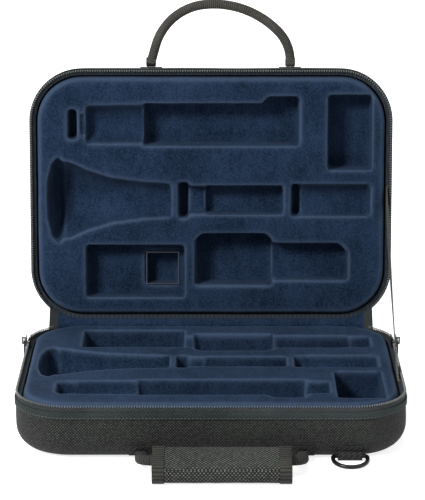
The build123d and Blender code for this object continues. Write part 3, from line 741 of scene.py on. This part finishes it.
cover_voxel = {"base": 2.6 * mm, "lid": 4.5 * mm}       # the simulation makes the lid's finer again
lid_pressure = 4.0
lid_fullness = 2.4 * mm
skin_thickness = 0.9 * mm
for half in ("base", "lid"):
    cover = tray(f"{half}_skin", half_height[half])
    even_mesh(cover, cover_voxel[half])
    finish_modifiers(cover)
    edit_all()
    bpy.ops.mesh.bisect(plane_co=(0, 0, rim_height - skin_edge_depth), plane_no=(0, 0, 1), clear_outer=True)
    leave_edit()
    if half == "lid":
        co = read(cover.data.vertices, "co", 3)
        panel = co[:, 2] < rim_height - lid_height + 1.5 * mm
        blow_up(cover, lid_pressure, lid_fullness, panel)
    wave_walls(cover, half_height[half], 0.5 * mm)
    give_thickness(cover, skin_thickness, -1)
    finish_modifiers(cover)
    map_half(cover)
    smooth(cover, 60)
    set_in_place(cover, half)
    dress(cover, nylon, half, "nylon", f"{half}_cover")

# %% [markdown]
# ## Binding and zip
# A strip of cloth is folded over the edge of the skin all round and sewn down, which gives a slim
# rounded band. It is a plan outline extruded downwards, given a thickness and bevelled. The zip's
# tape stands up behind it in the same way, but it stops where the cloth hinge begins.

# %% Strips along the rim
strip_loops = 2


def rim_strip(name, inset, depth_from, depth_to, thickness, roundness, hinge_gap):
    """Strip of cloth standing along the rim; hinge_gap leaves the rear open."""
    piece = rounded_outline(name, inset, rim_height - depth_from)
    edit_all()
    bpy.ops.mesh.delete(type="ONLY_FACE")
    bpy.ops.mesh.select_all(action="SELECT")
    bpy.ops.mesh.subdivide(number_cuts=1)
    down = (0, 0, (depth_from - depth_to) / strip_loops)
    for _ in range(strip_loops):
        bpy.ops.mesh.extrude_region_move(TRANSFORM_OT_translate={"value": down})
    if hinge_gap:
        for side in (-1, 1):
            bpy.ops.mesh.select_all(action="SELECT")
            bpy.ops.mesh.bisect(plane_co=(side * hinge_half_width, 0, 0), plane_no=(1, 0, 0))
        leave_edit()
        reach = hinge_half_width - 0.1 * mm
        pick(piece, "FACE", lambda face: face.center.y > 0 and abs(face.center.x) < reach)
        bpy.ops.mesh.delete(type="FACE")
    bpy.ops.mesh.select_all(action="SELECT")
    bpy.ops.mesh.normals_make_consistent(inside=False)
    leave_edit()
    front_faces = [face for face in piece.data.polygons if face.center.y < -half_depth + 10 * mm]
    if front_faces[0].normal.y > 0:                      # an open strip may have turned inside out
        edit_all()
        bpy.ops.mesh.flip_normals()
        leave_edit()
    give_thickness(piece, thickness, -1)
    soft_edges(piece, roundness, segments=3)
    finish_modifiers(piece)
    map_half(piece)
    smooth(piece, 50)
    return piece


band_thickness = 1.15 * mm
for half in ("base", "lid"):
    band = rim_strip(f"{half}_binding", 0, band_depth, band_depth + band_width, band_thickness,
                     roundness=0.5 * mm, hinge_gap=False)
    set_in_place(band, half)
    dress(band, binding_tape, half, "binding", f"{half}_rim_binding")
    tape = rim_strip(f"{half}_tape", tape_inset, coil_depth + coil_radius, skin_edge_depth, tape_thickness,
                     roundness=0.15 * mm, hinge_gap=True)
    set_in_place(tape, half)
    dress(tape, zip_tape, half, "zip_tape", f"{half}_zip_tape")

# %% [markdown]
# The zip is a coil: a nylon wire wound in a long spiral along the edge of each tape. One flat ring of
# a few dozen faces is modelled, an Array repeats it, and a Curve modifier bends the row round the rim.
# First the way round the rim is needed as points.

# %% Way round the rim
def rim_place(u, inset):
    """Point of the rim at a distance round it, pulled in by inset; the reverse of along_rim."""
    across = half_width - corner_radius
    along = half_depth - corner_radius
    turn = corner_radius * math.pi / 2
    side = 1 if u >= 0 else -1
    u = abs(u)
    radius = corner_radius - inset
    if u <= across:
        x, y = u, -half_depth + inset
    elif u <= across + turn:
        angle = (u - across) / corner_radius
        x, y = across + radius * math.sin(angle), -along - radius * math.cos(angle)
    elif u <= across + turn + 2 * along:
        x, y = half_width - inset, -along + u - across - turn
    else:
        angle = (u - across - turn - 2 * along) / corner_radius
        x, y = across + radius * math.cos(angle), along + radius * math.sin(angle)
    return side * x, y


def line_curve(name, points, closed=False):
    """Curve object that runs straight from point to point."""
    curve = bpy.data.curves.new(name, "CURVE")
    curve.dimensions = "3D"
    spline = curve.splines.new("POLY")
    spline.points.add(len(points) - 1)
    for point, place in zip(spline.points, points):
        point.co = (*place, 1)
    spline.use_cyclic_u = closed
    thing = bpy.data.objects.new(name, curve)
    bpy.context.scene.collection.objects.link(thing)
    return thing


coil_inset = tape_inset + tape_thickness / 2
straight_front = half_width - corner_radius
straight_side = 2 * (half_depth - corner_radius)
opening = math.acos((hinge_half_width - straight_front) / (corner_radius - coil_inset))
coil_end = straight_front + corner_radius * (math.pi / 2 + opening) + straight_side
print("each coil is", round(2 * coil_end, 3), "m long")

# %% [markdown]
# The ring of the coil needs very few faces, because there are hundreds of rings and each is only about
# two millimetres across.

# %% Coil
coil_pitch = 2.2 * mm
ring_radius = 0.70 * mm
ring_wire = 0.42 * mm
guide_steps = 180
for half in ("base", "lid"):
    route = [(*rim_place(coil_end * (2 * i / guide_steps - 1), coil_inset), rim_height - coil_depth)
             for i in range(guide_steps + 1)]
    guide = line_curve(f"{half}_coil_guide", route)
    bpy.ops.object.select_all(action="DESELECT")
    bpy.ops.mesh.primitive_torus_add(major_radius=ring_radius, minor_radius=ring_wire, major_segments=8,
                                     minor_segments=4, rotation=(0, math.pi / 2, 0))
    coil = bpy.context.object
    coil.name = f"{half}_coil"
    bpy.ops.object.transform_apply(location=True, rotation=True, scale=True)
    row = coil.modifiers.new("row", "ARRAY")
    row.fit_type = "FIT_CURVE"
    row.curve = guide
    row.use_relative_offset = False
    row.use_constant_offset = True
    row.constant_offset_displace = (coil_pitch, 0, 0)
    bend = coil.modifiers.new("bend", "CURVE")
    bend.object = guide
    finish_modifiers(coil)
    bpy.data.objects.remove(guide)
    set_in_place(coil, half)
    smooth(coil, 80)
    dress(coil, coil_plastic, half, "zip_coil", f"{half}_zip_coil")

# %% [markdown]
# ## Moulded inserts
# The pockets were pressed into foam with the plush already on it, so no edge is sharp. The packed
# solid has the pockets' exact places; laid flat, remeshed into small even squares and smoothed, it
# gets the rolled edges. Where the surface bends outwards the plush gets a painted highlight, as if
# light caught the pile there, so the bend is measured at each point and kept as the attribute that
# the plush material reads.

# %% Measuring the lips
full_highlight_bend = 0.15 * mm                # a point this far over the middle of its neighbours is a full lip


def sum_of_neighbours(values, edges):
    """For each point, the sum of a value over the points that its edges lead to."""
    total = np.zeros_like(values)
    np.add.at(total, edges[:, 0], values[edges[:, 1]])
    np.add.at(total, edges[:, 1], values[edges[:, 0]])
    return total


def measure_edge_highlights(piece):
    """Write the attribute that masks the painted highlight: 0 on flat or hollow places, 1 on edges that bend
    outwards.
    """
    mesh = piece.data
    count = len(mesh.vertices)
    co = read(mesh.vertices, "co", 3)
    normal = read(mesh.vertices, "normal", 3)
    edges = read(mesh.edges, "vertices", 2, np.int32)
    neighbours = np.maximum(np.bincount(edges.ravel(), minlength=count), 1)
    bend = ((co - sum_of_neighbours(co, edges) / neighbours[:, None]) * normal).sum(axis=1)
    edge_highlight = np.clip(bend / full_highlight_bend, 0, 1)
    edge_highlight = 0.5 * edge_highlight + 0.5 * sum_of_neighbours(edge_highlight, edges) / neighbours
    attribute = mesh.attributes.new("edge_highlight", "FLOAT", "POINT")
    attribute.data.foreach_set("value", edge_highlight.astype(np.float32))
    return float((edge_highlight > 0.3).mean())


print("a full lip bends outwards by", full_highlight_bend, "m")

# %% [markdown]
# Remesh, Smooth and Displace are stacked: even squares, rolled edges, and slow waves in the foam. Then
# the flat face between the pockets is lifted by the pile's height, fading out down the walls.

# %% Insert of each half
insert_voxel = 1.7 * mm
pile = 2.2 * mm                     # how far the plush stands over the foam's flat face
pile_fade = 7 * mm
face_height = rim_height - 3 * mm
waves = bpy.data.textures.new("slow waves", "CLOUDS")
waves.noise_scale = 0.035
for half in ("base", "lid"):
    insert = copy_of(f"{half}_insert", f"{half}_plush")
    insert.data.transform(half_place[half].inverted())
    even_mesh(insert, insert_voxel)
    rolled = insert.modifiers.new("rolled edges", "SMOOTH")
    rolled.factor = 0.5
    rolled.iterations = 7
    uneven = insert.modifiers.new("uneven foam", "DISPLACE")
    uneven.texture = waves
    uneven.strength = 0.7 * mm
    uneven.mid_level = 0.5
    finish_modifiers(insert)
    co = read(insert.data.vertices, "co", 3)
    near_face = np.clip((co[:, 2] - face_height + pile_fade) / pile_fade, 0, 1)
    co[:, 2] += pile * near_face ** 2 * (3 - 2 * near_face)
    move_points(insert, co)
    share = measure_edge_highlights(insert)
    print(insert.name, "points on lips:", round(share, 3))
    set_in_place(insert, half)
    smooth(insert, 80)
    dress(insert, navy_plush, half, "plush", f"{half}_insert")

# %% [markdown]
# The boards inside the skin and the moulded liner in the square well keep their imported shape, which
# is already right. Only a strip of each board's edge can be seen, lined with dark cloth. A CAD mesh
# has no map of its own, so these read the object's own coordinates instead.

# %% Boards and liner
def lining(name, colour):
    """Dark fine cloth that reads the object's own coordinates."""
    material, tree, shader = new_material(name)
    place = object_place(tree)
    woven = group_node(tree, weave, Place=place, Pitch=1.0 * mm, Step=1.0, Unevenness=0.4)
    # The weave's tone sets the colour: partly painted shade on the thread relief, partly random thread tone.
    put(shader.inputs["Base Color"], blend_colours(tree, woven.outputs["Shade_And_Tone"], colour, paler(colour, 2.4)))
    put(shader.inputs["Normal"], bump(tree, woven.outputs["Height"], 0.1 * mm))
    set_levels(shader, Roughness=0.95)
    return material


edge_lining = lining("edge_lining", (0.010, 0.015, 0.022, 1))
fastener_cloth = lining("fastener_cloth", (0.006, 0.006, 0.006, 1))
redress("base_shell", edge_lining)
redress("lid_shell", edge_lining)
redress("lid_well_liner", liner_plastic)
redress("grip_hook_strip", fastener_cloth)
redress("grip_loop_strip", fastener_cloth)
print("boards, liner and fastening strips dressed")

# %% [markdown]
# ## Cloth hinge and stay
# A folded strip of cloth joins the two rims at the rear. It lies against both tapes and sags between
# them. A grid is laid out in code along a smooth curve through the fold, because its ends follow the
# case's round corners, and then it is given the cloth's thickness.

# %% Cloth hinge
hinge_sewn_depth = 5.8 * mm
hinge_edge_depth = 0.6 * mm


def lid_point(s, depth):
    """(y, z) of a point of the open lid: s from the hinge line, depth behind the rim plane."""
    return Vector((half_depth + s * math.sin(lid_lean) + depth * math.cos(lid_lean),
                   rim_height + s * math.cos(lid_lean) - depth * math.sin(lid_lean)))


def hinge_section(x):
    """Five guide points of the hinge cloth at x, from the base's tape to the lid's."""
    beyond = max(abs(x) - (half_width - corner_radius), 0)
    s = corner_radius - math.sqrt((corner_radius - coil_inset) ** 2 - beyond ** 2)
    low = Vector((half_depth - s, rim_height - hinge_sewn_depth))
    high = Vector((half_depth - s, rim_height - hinge_edge_depth))
    near, far = lid_point(s, hinge_edge_depth), lid_point(s, hinge_sewn_depth)
    middle = (high + near) / 2
    fold = middle + 0.4 * (Vector((half_depth, rim_height)) - middle)
    return [low, high, fold, near, far]


def smooth_between(guides, t):
    """Point at t, from 0 to 1, of the smooth curve that the guide points pull on."""
    row = list(guides)
    while len(row) > 1:
        row = [a.lerp(b, t) for a, b in zip(row, row[1:])]
    return row[0]


hinge = flat_grid("hinge_cloth", 96, 12)
reach = hinge_half_width - 0.3 * mm
for vertex in hinge.data.vertices:
    x, t = vertex.co.x * reach, (vertex.co.y + 1) / 2
    place = smooth_between(hinge_section(x), t)
    pucker = 0.25 * mm * math.sin(x * 400) * math.sin(math.pi * t)
    vertex.co = (x, place.x + pucker, place.y)
give_thickness(hinge, tape_thickness)
finish_modifiers(hinge)
map_by_side(hinge)
smooth(hinge, 60)
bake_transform(hinge)
dress(hinge, hinge_plush, None, "hinge_fabric", "hinge_gusset")

# %% [markdown]
# The stay is a flat ribbon that stops the lid just past upright. It is seen nearly edge-on from the
# front. It is a grid again, pulled straight from the base's board to the lid's, with a slight slack.

# %% Stay ribbon
stay_x = half_width - 5 * mm
sewn_depth = 5.5 * mm               # below the rim, on both boards
stay_half_width = 5 * mm
stay_slack = 1.5 * mm
base_end = Vector((half_depth - 146 * mm, rim_height - sewn_depth))
lid_end = lid_point(118 * mm, sewn_depth)
rise = lid_end - base_end
stay_angle = math.atan2(rise.y, rise.x)
base_half_cut = stay_half_width / math.sin(stay_angle)
lid_half_cut = stay_half_width / math.cos(stay_angle + lid_lean)
lid_way = Vector((math.sin(lid_lean), math.cos(lid_lean)))
stay = flat_grid("stay_ribbon", 60, 6)
for vertex in stay.data.vertices:
    t, w = (vertex.co.x + 1) / 2, vertex.co.y
    low = base_end - Vector((w * base_half_cut, 0))
    high = lid_end + lid_way * (w * lid_half_cut)
    place = low.lerp(high, t) - Vector((0, 1)) * (stay_slack * math.sin(math.pi * t))
    sway = 0.5 * mm * math.sin(math.pi * t) + 0.4 * mm * w * math.sin(2 * math.pi * t)
    vertex.co = (stay_x - sway, place.x, place.y)
give_thickness(stay, 0.9 * mm)
finish_modifiers(stay)
map_by_side(stay)
smooth(stay, 50)
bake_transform(stay)
dress(stay, ribbon, None, "ribbon", "lid_stay")
print("stay", round(rise.length, 4), "m long, leaning at", round(math.degrees(stay_angle), 1), "degrees")

# %% [markdown]
# ## Small sewn parts
# Stops, stay ends, handle patches and the ring's loop are short pieces of ribbon and webbing. Their
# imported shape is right; a copy gets soft edges and a map for its weave.

# %% Patches and tabs
def soften(node, name, material, body, slot, roundness):
    """Copy of a small cloth solid with bevelled edges and a cloth map."""
    piece = copy_of(node, name)
    soft_edges(piece, roundness)
    finish_modifiers(piece)
    map_by_side(piece)
    smooth(piece, 45)
    dress(piece, material, body, slot, node)


for side in ("left", "right"):
    soften(f"zip_stop_{side}", f"stop_{side}", ribbon, "base", "ribbon", 0.25 * mm)
    soften(f"base_handle_tab_{side}", f"base_patch_{side}", patch_webbing, "base", "webbing", 0.35 * mm)
    soften(f"lid_handle_tab_{side}", f"lid_patch_{side}", patch_webbing, "lid", "webbing", 0.35 * mm)
for half in ("base", "lid"):
    soften(f"{half}_stay_anchor", f"{half}_stay_end", ribbon, half, "ribbon", 0.2 * mm)
soften("d_ring_tab", "ring_loop", patch_webbing, "base", "webbing", 0.3 * mm)

# %% [markdown]
# ## Handles
# Both handles are webbing rolled round a core and sewn along its length, then stitched under a patch
# at each end. A curve with a round bevel gives the roll; its map runs along the handle and round it,
# so the ribs of the webbing can cross it and the seam can follow it.

# %% Ribbed webbing material
def ribbed(name, dark, light, rib, seam_width=0, rough=0.75):
    """Webbing whose ribs cross the length: V of the map runs along, U across or round the roll.

    A roll has its seam at U = 0; with a seam width of 0 there is none."""
    material, tree, shader = new_material(name)
    place = map_place(tree, "Cloth")
    split = tree.nodes.new("ShaderNodeSeparateXYZ")
    put(split.inputs[0], place)
    wobble = noise(tree, object_place(tree), 320.0, 2.0, 0.6)
    along = maths(tree, "ADD", maths(tree, "DIVIDE", split.outputs[1], rib), times(tree, wobble, 0.35))
    wave = hump(tree, along)
    ribs = times(tree, wave, wave)
    woven = group_node(tree, weave, Place=place, Pitch=0.9 * mm, Step=2.0, Unevenness=0.8)
    # Painted shade: each rib's crest is painted lighter and the dip between ribs darker, as light falls on
    # them, on top of the weave's tone, itself partly painted shade.
    tone = maths(tree, "MULTIPLY_ADD", ribs, 0.7, times(tree, woven.outputs["Shade_And_Tone"], 0.6))
    colour = blend_colours(tree, tone, dark, light)
    aged = group_node(tree, fading, Place=object_place(tree), Scale=30.0)
    cloud = times(tree, between(tree, aged.outputs["Cloud"], 0.4, 0.8), 0.35)
    colour = blend_colours(tree, cloud, colour, paler(light, 1.5))
    height = maths(tree, "MULTIPLY_ADD", ribs, 0.8, times(tree, woven.outputs["Height"], 0.3))
    if seam_width:
        off_seam = between(tree, maths(tree, "ABSOLUTE", split.outputs[0]), 0.0, seam_width)
        colour = blend_colours(tree, maths(tree, "MULTIPLY_ADD", off_seam, 0.7, 0.3), dark, colour)
        height = maths(tree, "MULTIPLY_ADD", off_seam, 1.5, height)
    put(shader.inputs["Base Color"], colour)
    put(shader.inputs["Normal"], bump(tree, height, 0.45 * mm))
    set_levels(shader, Roughness=rough, Sheen_Weight=0.02, Specular_IOR_Level=0.15)
    return material


handle_rib = 1.9 * mm
handle_seam = 0.7 * mm
handle_webbing = ribbed("handle_webbing", (0.004, 0.004, 0.0035, 1), (0.088, 0.085, 0.076, 1), handle_rib,
                        handle_seam)
loop_webbing = ribbed("loop_webbing", (0.004, 0.004, 0.004, 1), (0.050, 0.052, 0.048, 1), handle_rib,
                      handle_seam)
print("ribs every", handle_rib, "m on", handle_webbing.name, "and", loop_webbing.name)

# %% [markdown]
# A roll follows a route of points. Straight legs are single steps and bends are arcs, each starting
# where the last one ended. Where the webbing turns into its patch it is bunched into a short barrel.

# %% Rolls of webbing
webbing_radius = 4.3 * mm
root_radius = 4.5 * mm
root_length = 9 * mm


def arc_from(start, heading, radius, turn, steps=16):
    """Points of an arc that turns left from a start, and the end's heading, in degrees."""
    first = math.radians(heading)
    points = []
    for i in range(1, steps + 1):
        angle = first + math.radians(turn) * i / steps
        points.append((start[0] + radius * (math.sin(angle) - math.sin(first)),
                       start[1] - radius * (math.cos(angle) - math.cos(first))))
    return points, heading + turn


def map_along(piece, route, radius, up):
    """Cloth map of a tube: V is the distance along its route, U the way round it from the underside."""
    line = np.array([tuple(p) for p in route])
    ways = np.diff(line, axis=0)
    lengths = np.linalg.norm(ways, axis=1)
    starts = np.concatenate(([0], np.cumsum(lengths)[:-1]))
    mesh = piece.data
    co = read(mesh.vertices, "co", 3)
    share = np.clip(((co[:, None] - line[None, :-1]) * ways).sum(2) / lengths ** 2, 0, 1)
    gap = co[:, None] - (line[None, :-1] + share[:, :, None] * ways)
    nearest = np.linalg.norm(gap, axis=2).argmin(axis=1)
    rows = np.arange(len(co))
    away = gap[rows, nearest]
    along = (starts + share * lengths)[rows, nearest]
    tangent = ways[nearest] / lengths[nearest][:, None]
    lower = np.cross(tangent, np.array(up))
    angle = np.arctan2((away * np.array(up)).sum(1), (away * lower).sum(1))
    corners = read(mesh.loops, "vertex_index", 1, np.int32)
    sizes = read(mesh.polygons, "loop_total", 1, np.int32)
    first = np.repeat(angle[corners[read(mesh.polygons, "loop_start", 1, np.int32)]], sizes)
    turned = angle[corners]
    turned = turned + 2 * math.pi * np.round((first - turned) / (2 * math.pi))
    write_map(piece, "Cloth", turned * radius, along[corners])


def roll(name, route, radius, closed=False, smoothness=4):
    """Round rod along a route, as a mesh."""
    thing = line_curve(name, route, closed)
    thing.data.bevel_depth = radius
    thing.data.bevel_resolution = smoothness
    thing.data.use_fill_caps = not closed
    choose(thing)
    bpy.ops.object.convert(target="MESH")
    return bpy.context.object


def add_roots(piece, places):
    """Short barrels where the webbing turns into its patches, joined to the roll."""
    for place in places:
        bpy.ops.object.select_all(action="DESELECT")
        bpy.ops.mesh.primitive_cylinder_add(vertices=20, radius=root_radius, depth=root_length,
                                            location=place, rotation=(0, math.pi / 2, 0))
        barrel = bpy.context.object
        bpy.ops.object.transform_apply(location=True, rotation=True, scale=True)
        soft_edges(barrel, 1.2 * mm, segments=3)
        finish_modifiers(barrel)
        piece.select_set(True)
        bpy.context.view_layer.objects.active = piece
        bpy.ops.object.join()


print("webbing is rolled", 2 * webbing_radius, "m thick")

# %% [markdown]
# The lid's handle leans to one side: a slanted leg, three arcs that are flattest over the top, and a
# straight leg back down. It swings about its roots, so those come from the joint.

# %% Lid handle
handle_x, root_y, root_z = joints["lid_handle_swing"]["pos_m"]
left_x = handle_x - 63.5 * mm
leg = 15.5 * mm
heading = 90 + 16                   # degrees; the left leg leans outwards
points = [(0.0, 0.0)]
points.append((leg * math.cos(math.radians(heading)), leg * math.sin(math.radians(heading))))
for radius, turn in ((51.5 * mm, 68), (82 * mm, 52), (38 * mm, 44)):
    arc, heading = arc_from(points[-1], heading, radius, turn)
    points += arc
points.append((points[-1][0], 0.0))
lid_up = Vector((0, math.sin(lid_lean), math.cos(lid_lean)))
root = Vector((left_x, root_y, root_z))
handle_route = [root + Vector((-a, 0, 0)) + lid_up * b for a, b in points]
handle = roll("carry_handle", handle_route, webbing_radius)
add_roots(handle, [handle_route[0], handle_route[-1]])
map_along(handle, handle_route, webbing_radius, (0, math.cos(lid_lean), -math.sin(lid_lean)))
smooth(handle, 60)
dress(handle, handle_webbing, "lid_handle", "webbing", "lid_handle")
print("handle's top at", round(max(p.z for p in handle_route), 4), "legs at", round(handle_route[0].x, 4),
      round(handle_route[-1].x, 4))

# %% [markdown]
# The base's handle is a plain loop that has dropped in front: two straight legs, a bend in each and a
# straight bar close to the ground. Its slope follows from the heights of root and bar.

# %% Base handle
front_root = Vector(joints["base_handle_swing"]["pos_m"])
bar_height = 12.485 * mm
loop_reach = 30 * mm
half_span = 67 * mm
bend = 13 * mm
bar_run = math.sqrt(loop_reach ** 2 - (bar_height - front_root.z) ** 2)
bar = Vector((front_root.x, front_root.y - bar_run, bar_height))
out = (bar - front_root).normalized()
right_side = [(half_span, 0.0), (half_span, loop_reach - bend)]
right_side += arc_from(right_side[-1], 90, bend, 90, steps=10)[0]
loop = [(-a, b) for a, b in right_side] + [(a, b) for a, b in reversed(right_side)]
base_route = [front_root + Vector((a, 0, 0)) + out * b for a, b in loop]
base_handle = roll("base_handle_loop", base_route, webbing_radius)
add_roots(base_handle, [base_route[0], base_route[-1]])
map_along(base_handle, base_route, webbing_radius, Vector((1, 0, 0)).cross(out))
smooth(base_handle, 60)
dress(base_handle, loop_webbing, "base_handle", "webbing", "base_handle")

# %% [markdown]
# ## Padded wrap
# The wrap round the base handle is foam in coarse cloth with a ribbed tape sewn round each end. Its
# two halves are copied, remeshed into small squares and blown up by the same cloth simulation. The
# ends and the side towards the handle are held, so the middle stands a little prouder than the tapes.

# %% Wrap
wrap_cloth = cloth("wrap_cloth", (0.003, 0.003, 0.003, 1), (0.138, 0.150, 0.135, 1), 1.5 * mm,
                   depth=0.45 * mm, repeat=2.0, uneven=0.6, faded=0.1)
wrap_tape = ribbed("wrap_tape", (0.001, 0.001, 0.001, 1), (0.056, 0.056, 0.050, 1), 3.2 * mm, rough=0.85)
creases = bpy.data.textures.new("small creases", "CLOUDS")
creases.noise_scale = 0.014
grip_lean = math.radians(12)
toe = Vector((0, -math.cos(grip_lean), -math.sin(grip_lean)))
outwards = Vector((0, -math.sin(grip_lean), math.cos(grip_lean)))
pad_low, pad_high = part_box("grip_pad")
wrap_voxel = 1.8 * mm
wrap_pressure = 4.0
end_tape = 11 * mm                  # width of the tape round each end
wrap_halves = (("grip_pad", "base_handle", -1, 0.5 * mm), ("grip_flap", "grip_flap", 1, 1.3 * mm))
for node, body, side, fullness in wrap_halves:
    pad = copy_of(node, f"{node}_cloth")
    even_mesh(pad, wrap_voxel)
    finish_modifiers(pad)
    co = read(pad.data.vertices, "co", 3)
    normal = read(pad.data.vertices, "normal", 3)
    outside = side * (normal * np.array(outwards)).sum(axis=1) > 0.6
    between_tapes = (co[:, 0] > pad_low.x + end_tape) & (co[:, 0] < pad_high.x - end_tape)
    blow_up(pad, wrap_pressure, fullness, outside & between_tapes)
    soft = pad.modifiers.new("soft edges", "SMOOTH")
    soft.iterations = 2
    creased = pad.modifiers.new("creases", "DISPLACE")
    creased.texture = creases
    creased.strength = 0.5 * mm
    creased.mid_level = 0.5
    finish_modifiers(pad)
    map_by_side(pad)
    smooth(pad, 70)
    dress(pad, wrap_cloth, body, "wrap_fabric", node)
for node, body, side, fullness in wrap_halves:
    for end in ("left", "right"):
        soften(f"{node}_binding_{end}", f"{node}_tape_{end}", wrap_tape, body, "wrap_binding", 0.25 * mm)

# %% [markdown]
# In front the wrap's cloth runs on from one half to the other, and a narrow strip over the fold closes
# it there. The strip is bent across its width.

# %% Fold of the wrap
fold_axis = Vector(joints["grip_flap_open"]["pos_m"])
fold_reach = (pad_high.x - pad_low.x) / 2 - 10.5 * mm
fold = flat_grid("wrap_fold", 60, 8)
for vertex in fold.data.vertices:
    x, w = vertex.co.x, vertex.co.y
    place = fold_axis - toe * (0.7 * mm + 1.6 * mm * w * w) + outwards * (4.2 * mm * w)
    vertex.co = (fold_axis.x + x * fold_reach, place.y, place.z)
give_thickness(fold, 0.7 * mm)
finish_modifiers(fold)
map_by_side(fold)
smooth(fold, 60)
low, high = fold_axis - outwards * 1 * mm, fold_axis + outwards * 1 * mm
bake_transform(fold)
dress(fold, wrap_cloth, None, "wrap_fabric")

# %% [markdown]
# ## Metal parts
# The ring is round wire bent to a D, so it is a roll along its own line. Sliders and pulls keep their
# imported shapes; welding their triangles and bevelling the edges gives them the highlights of cast
# metal.

# %% Ring, sliders and pulls
ring_root = Vector(joints["d_ring_swing"]["pos_m"])
wire = 1.8 * mm
half_ring = 14.25 * mm              # radius of the round side, to the middle of the wire
ring_leg = 6 * mm
ring_bend = 3 * mm
ring_reach = ring_leg + half_ring
drop = ring_root.z - wire - 0.2 * mm        # the ring leans down until it nearly touches the ground
ring_out = Vector((0, -math.sqrt(ring_reach ** 2 - drop ** 2), -drop)).normalized()
right_half = [(0.0, 0.0)] + arc_from((half_ring - ring_bend, 0.0), 0, ring_bend, 90, 6)[0]
right_half += arc_from((half_ring, ring_leg), 90, half_ring, 90, 14)[0]
outline = right_half + [(-a, b) for a, b in reversed(right_half[1:-1])]
ring_route = [ring_root + Vector((a, 0, 0)) + ring_out * b for a, b in outline]
ring = roll("ring", ring_route, wire, closed=True, smoothness=5)
smooth(ring, 60)
dress(ring, black_metal, "d_ring", "black_metal", "d_ring")
for node in ("left_slider", "left_pull", "right_slider", "right_pull"):
    redress(node, black_metal)
    metal = frame["nodes"][node]
    joined = metal.modifiers.new("join", "WELD")
    joined.merge_threshold = weld_distance
    soft_edges(metal, 0.18 * mm, sharper_than=40)
print("ring round", round(sum((b - a).length for a, b in zip(ring_route, ring_route[1:])), 4), "m of wire")

# %% [markdown]
# ## Stage, light and camera
# The floor and the world are pale and plain. Soft lamps from both sides and above light the case at
# a level at which a colour looks about as it is written.

# %% Floor and world
bpy.ops.object.select_all(action="DESELECT")
bpy.ops.mesh.primitive_plane_add(size=24, location=(0, 0, 0))
floor = bpy.context.object
floor.name = "floor"
floor_material, tree, shader = new_material("pale_floor")
set_levels(shader, Base_Color=(0.84, 0.84, 0.85, 1), Roughness=0.9, Specular_IOR_Level=0.1,
           Emission_Color=(1, 1, 1, 1))


def seen_rays(tree):
    """1 for rays from the camera and for rays seen in or through a glossy surface, 0 for the rest."""
    path = tree.nodes.new("ShaderNodeLightPath")
    seen = maths(tree, "MAXIMUM", path.outputs["Is Camera Ray"], path.outputs["Is Glossy Ray"])
    return maths(tree, "MAXIMUM", seen, path.outputs["Is Transmission Ray"])


put(shader.inputs["Emission Strength"], times(tree, seen_rays(tree), 0.78))
floor.data.materials.append(floor_material)

world = bpy.data.worlds.new("soft white")
bpy.context.scene.world = world
world.use_nodes = True
sky = world.node_tree.nodes["Background"]
set_levels(sky, Color=(1, 1, 1, 1))
put(sky.inputs["Strength"], maths(world.node_tree, "MULTIPLY_ADD", seen_rays(world.node_tree), 0.76, 0.24))
print("stage:", floor.name, "and world", world.name)

# %% [markdown]
# Area lamps are soft because they are large. The left one is the smallest and strongest and gives the
# form, the rear one lights the back, and the other two lift the shadows. The camera has a long lens
# and stands two metres away, so the case keeps its proportions from front to back.

# %% Lamps and camera
def lamp(name, place, aim, size, power):
    """Square area lamp turned towards a point."""
    bpy.ops.object.light_add(type="AREA", location=place)
    thing = bpy.context.object
    thing.name = name
    thing.data.size = size
    thing.data.energy = power
    thing.rotation_euler = (Vector(aim) - Vector(place)).to_track_quat("-Z", "Y").to_euler()


middle = (0, 0.05, 0.12)
lamp("left_lamp", (-1.05, -1.08, 1.25), middle, 0.45, 39)
lamp("right_lamp", (1.9, -1.1, 1.3), middle, 1.0, 8)
lamp("top_lamp", (0.0, 0.1, 2.4), middle, 1.2, 9)
lamp("rear_lamp", (-0.9, 2.3, 1.5), middle, 1.4, 34)

camera = bpy.data.objects.new("camera", bpy.data.cameras.new("camera"))
bpy.context.scene.collection.objects.link(camera)
camera.location = (0.0014, -1.884, 0.6687)
camera.rotation_euler = (Vector((0.0014, 0.1, 0.1218)) - camera.location).to_track_quat("-Z", "Y").to_euler()
camera.data.lens = 164.16
camera.data.sensor_width = 36
bpy.context.scene.camera = camera
bpy.context.scene.view_settings.view_transform = "Standard"
print("camera", round(camera.location.length, 3), "m away, lens", camera.data.lens)
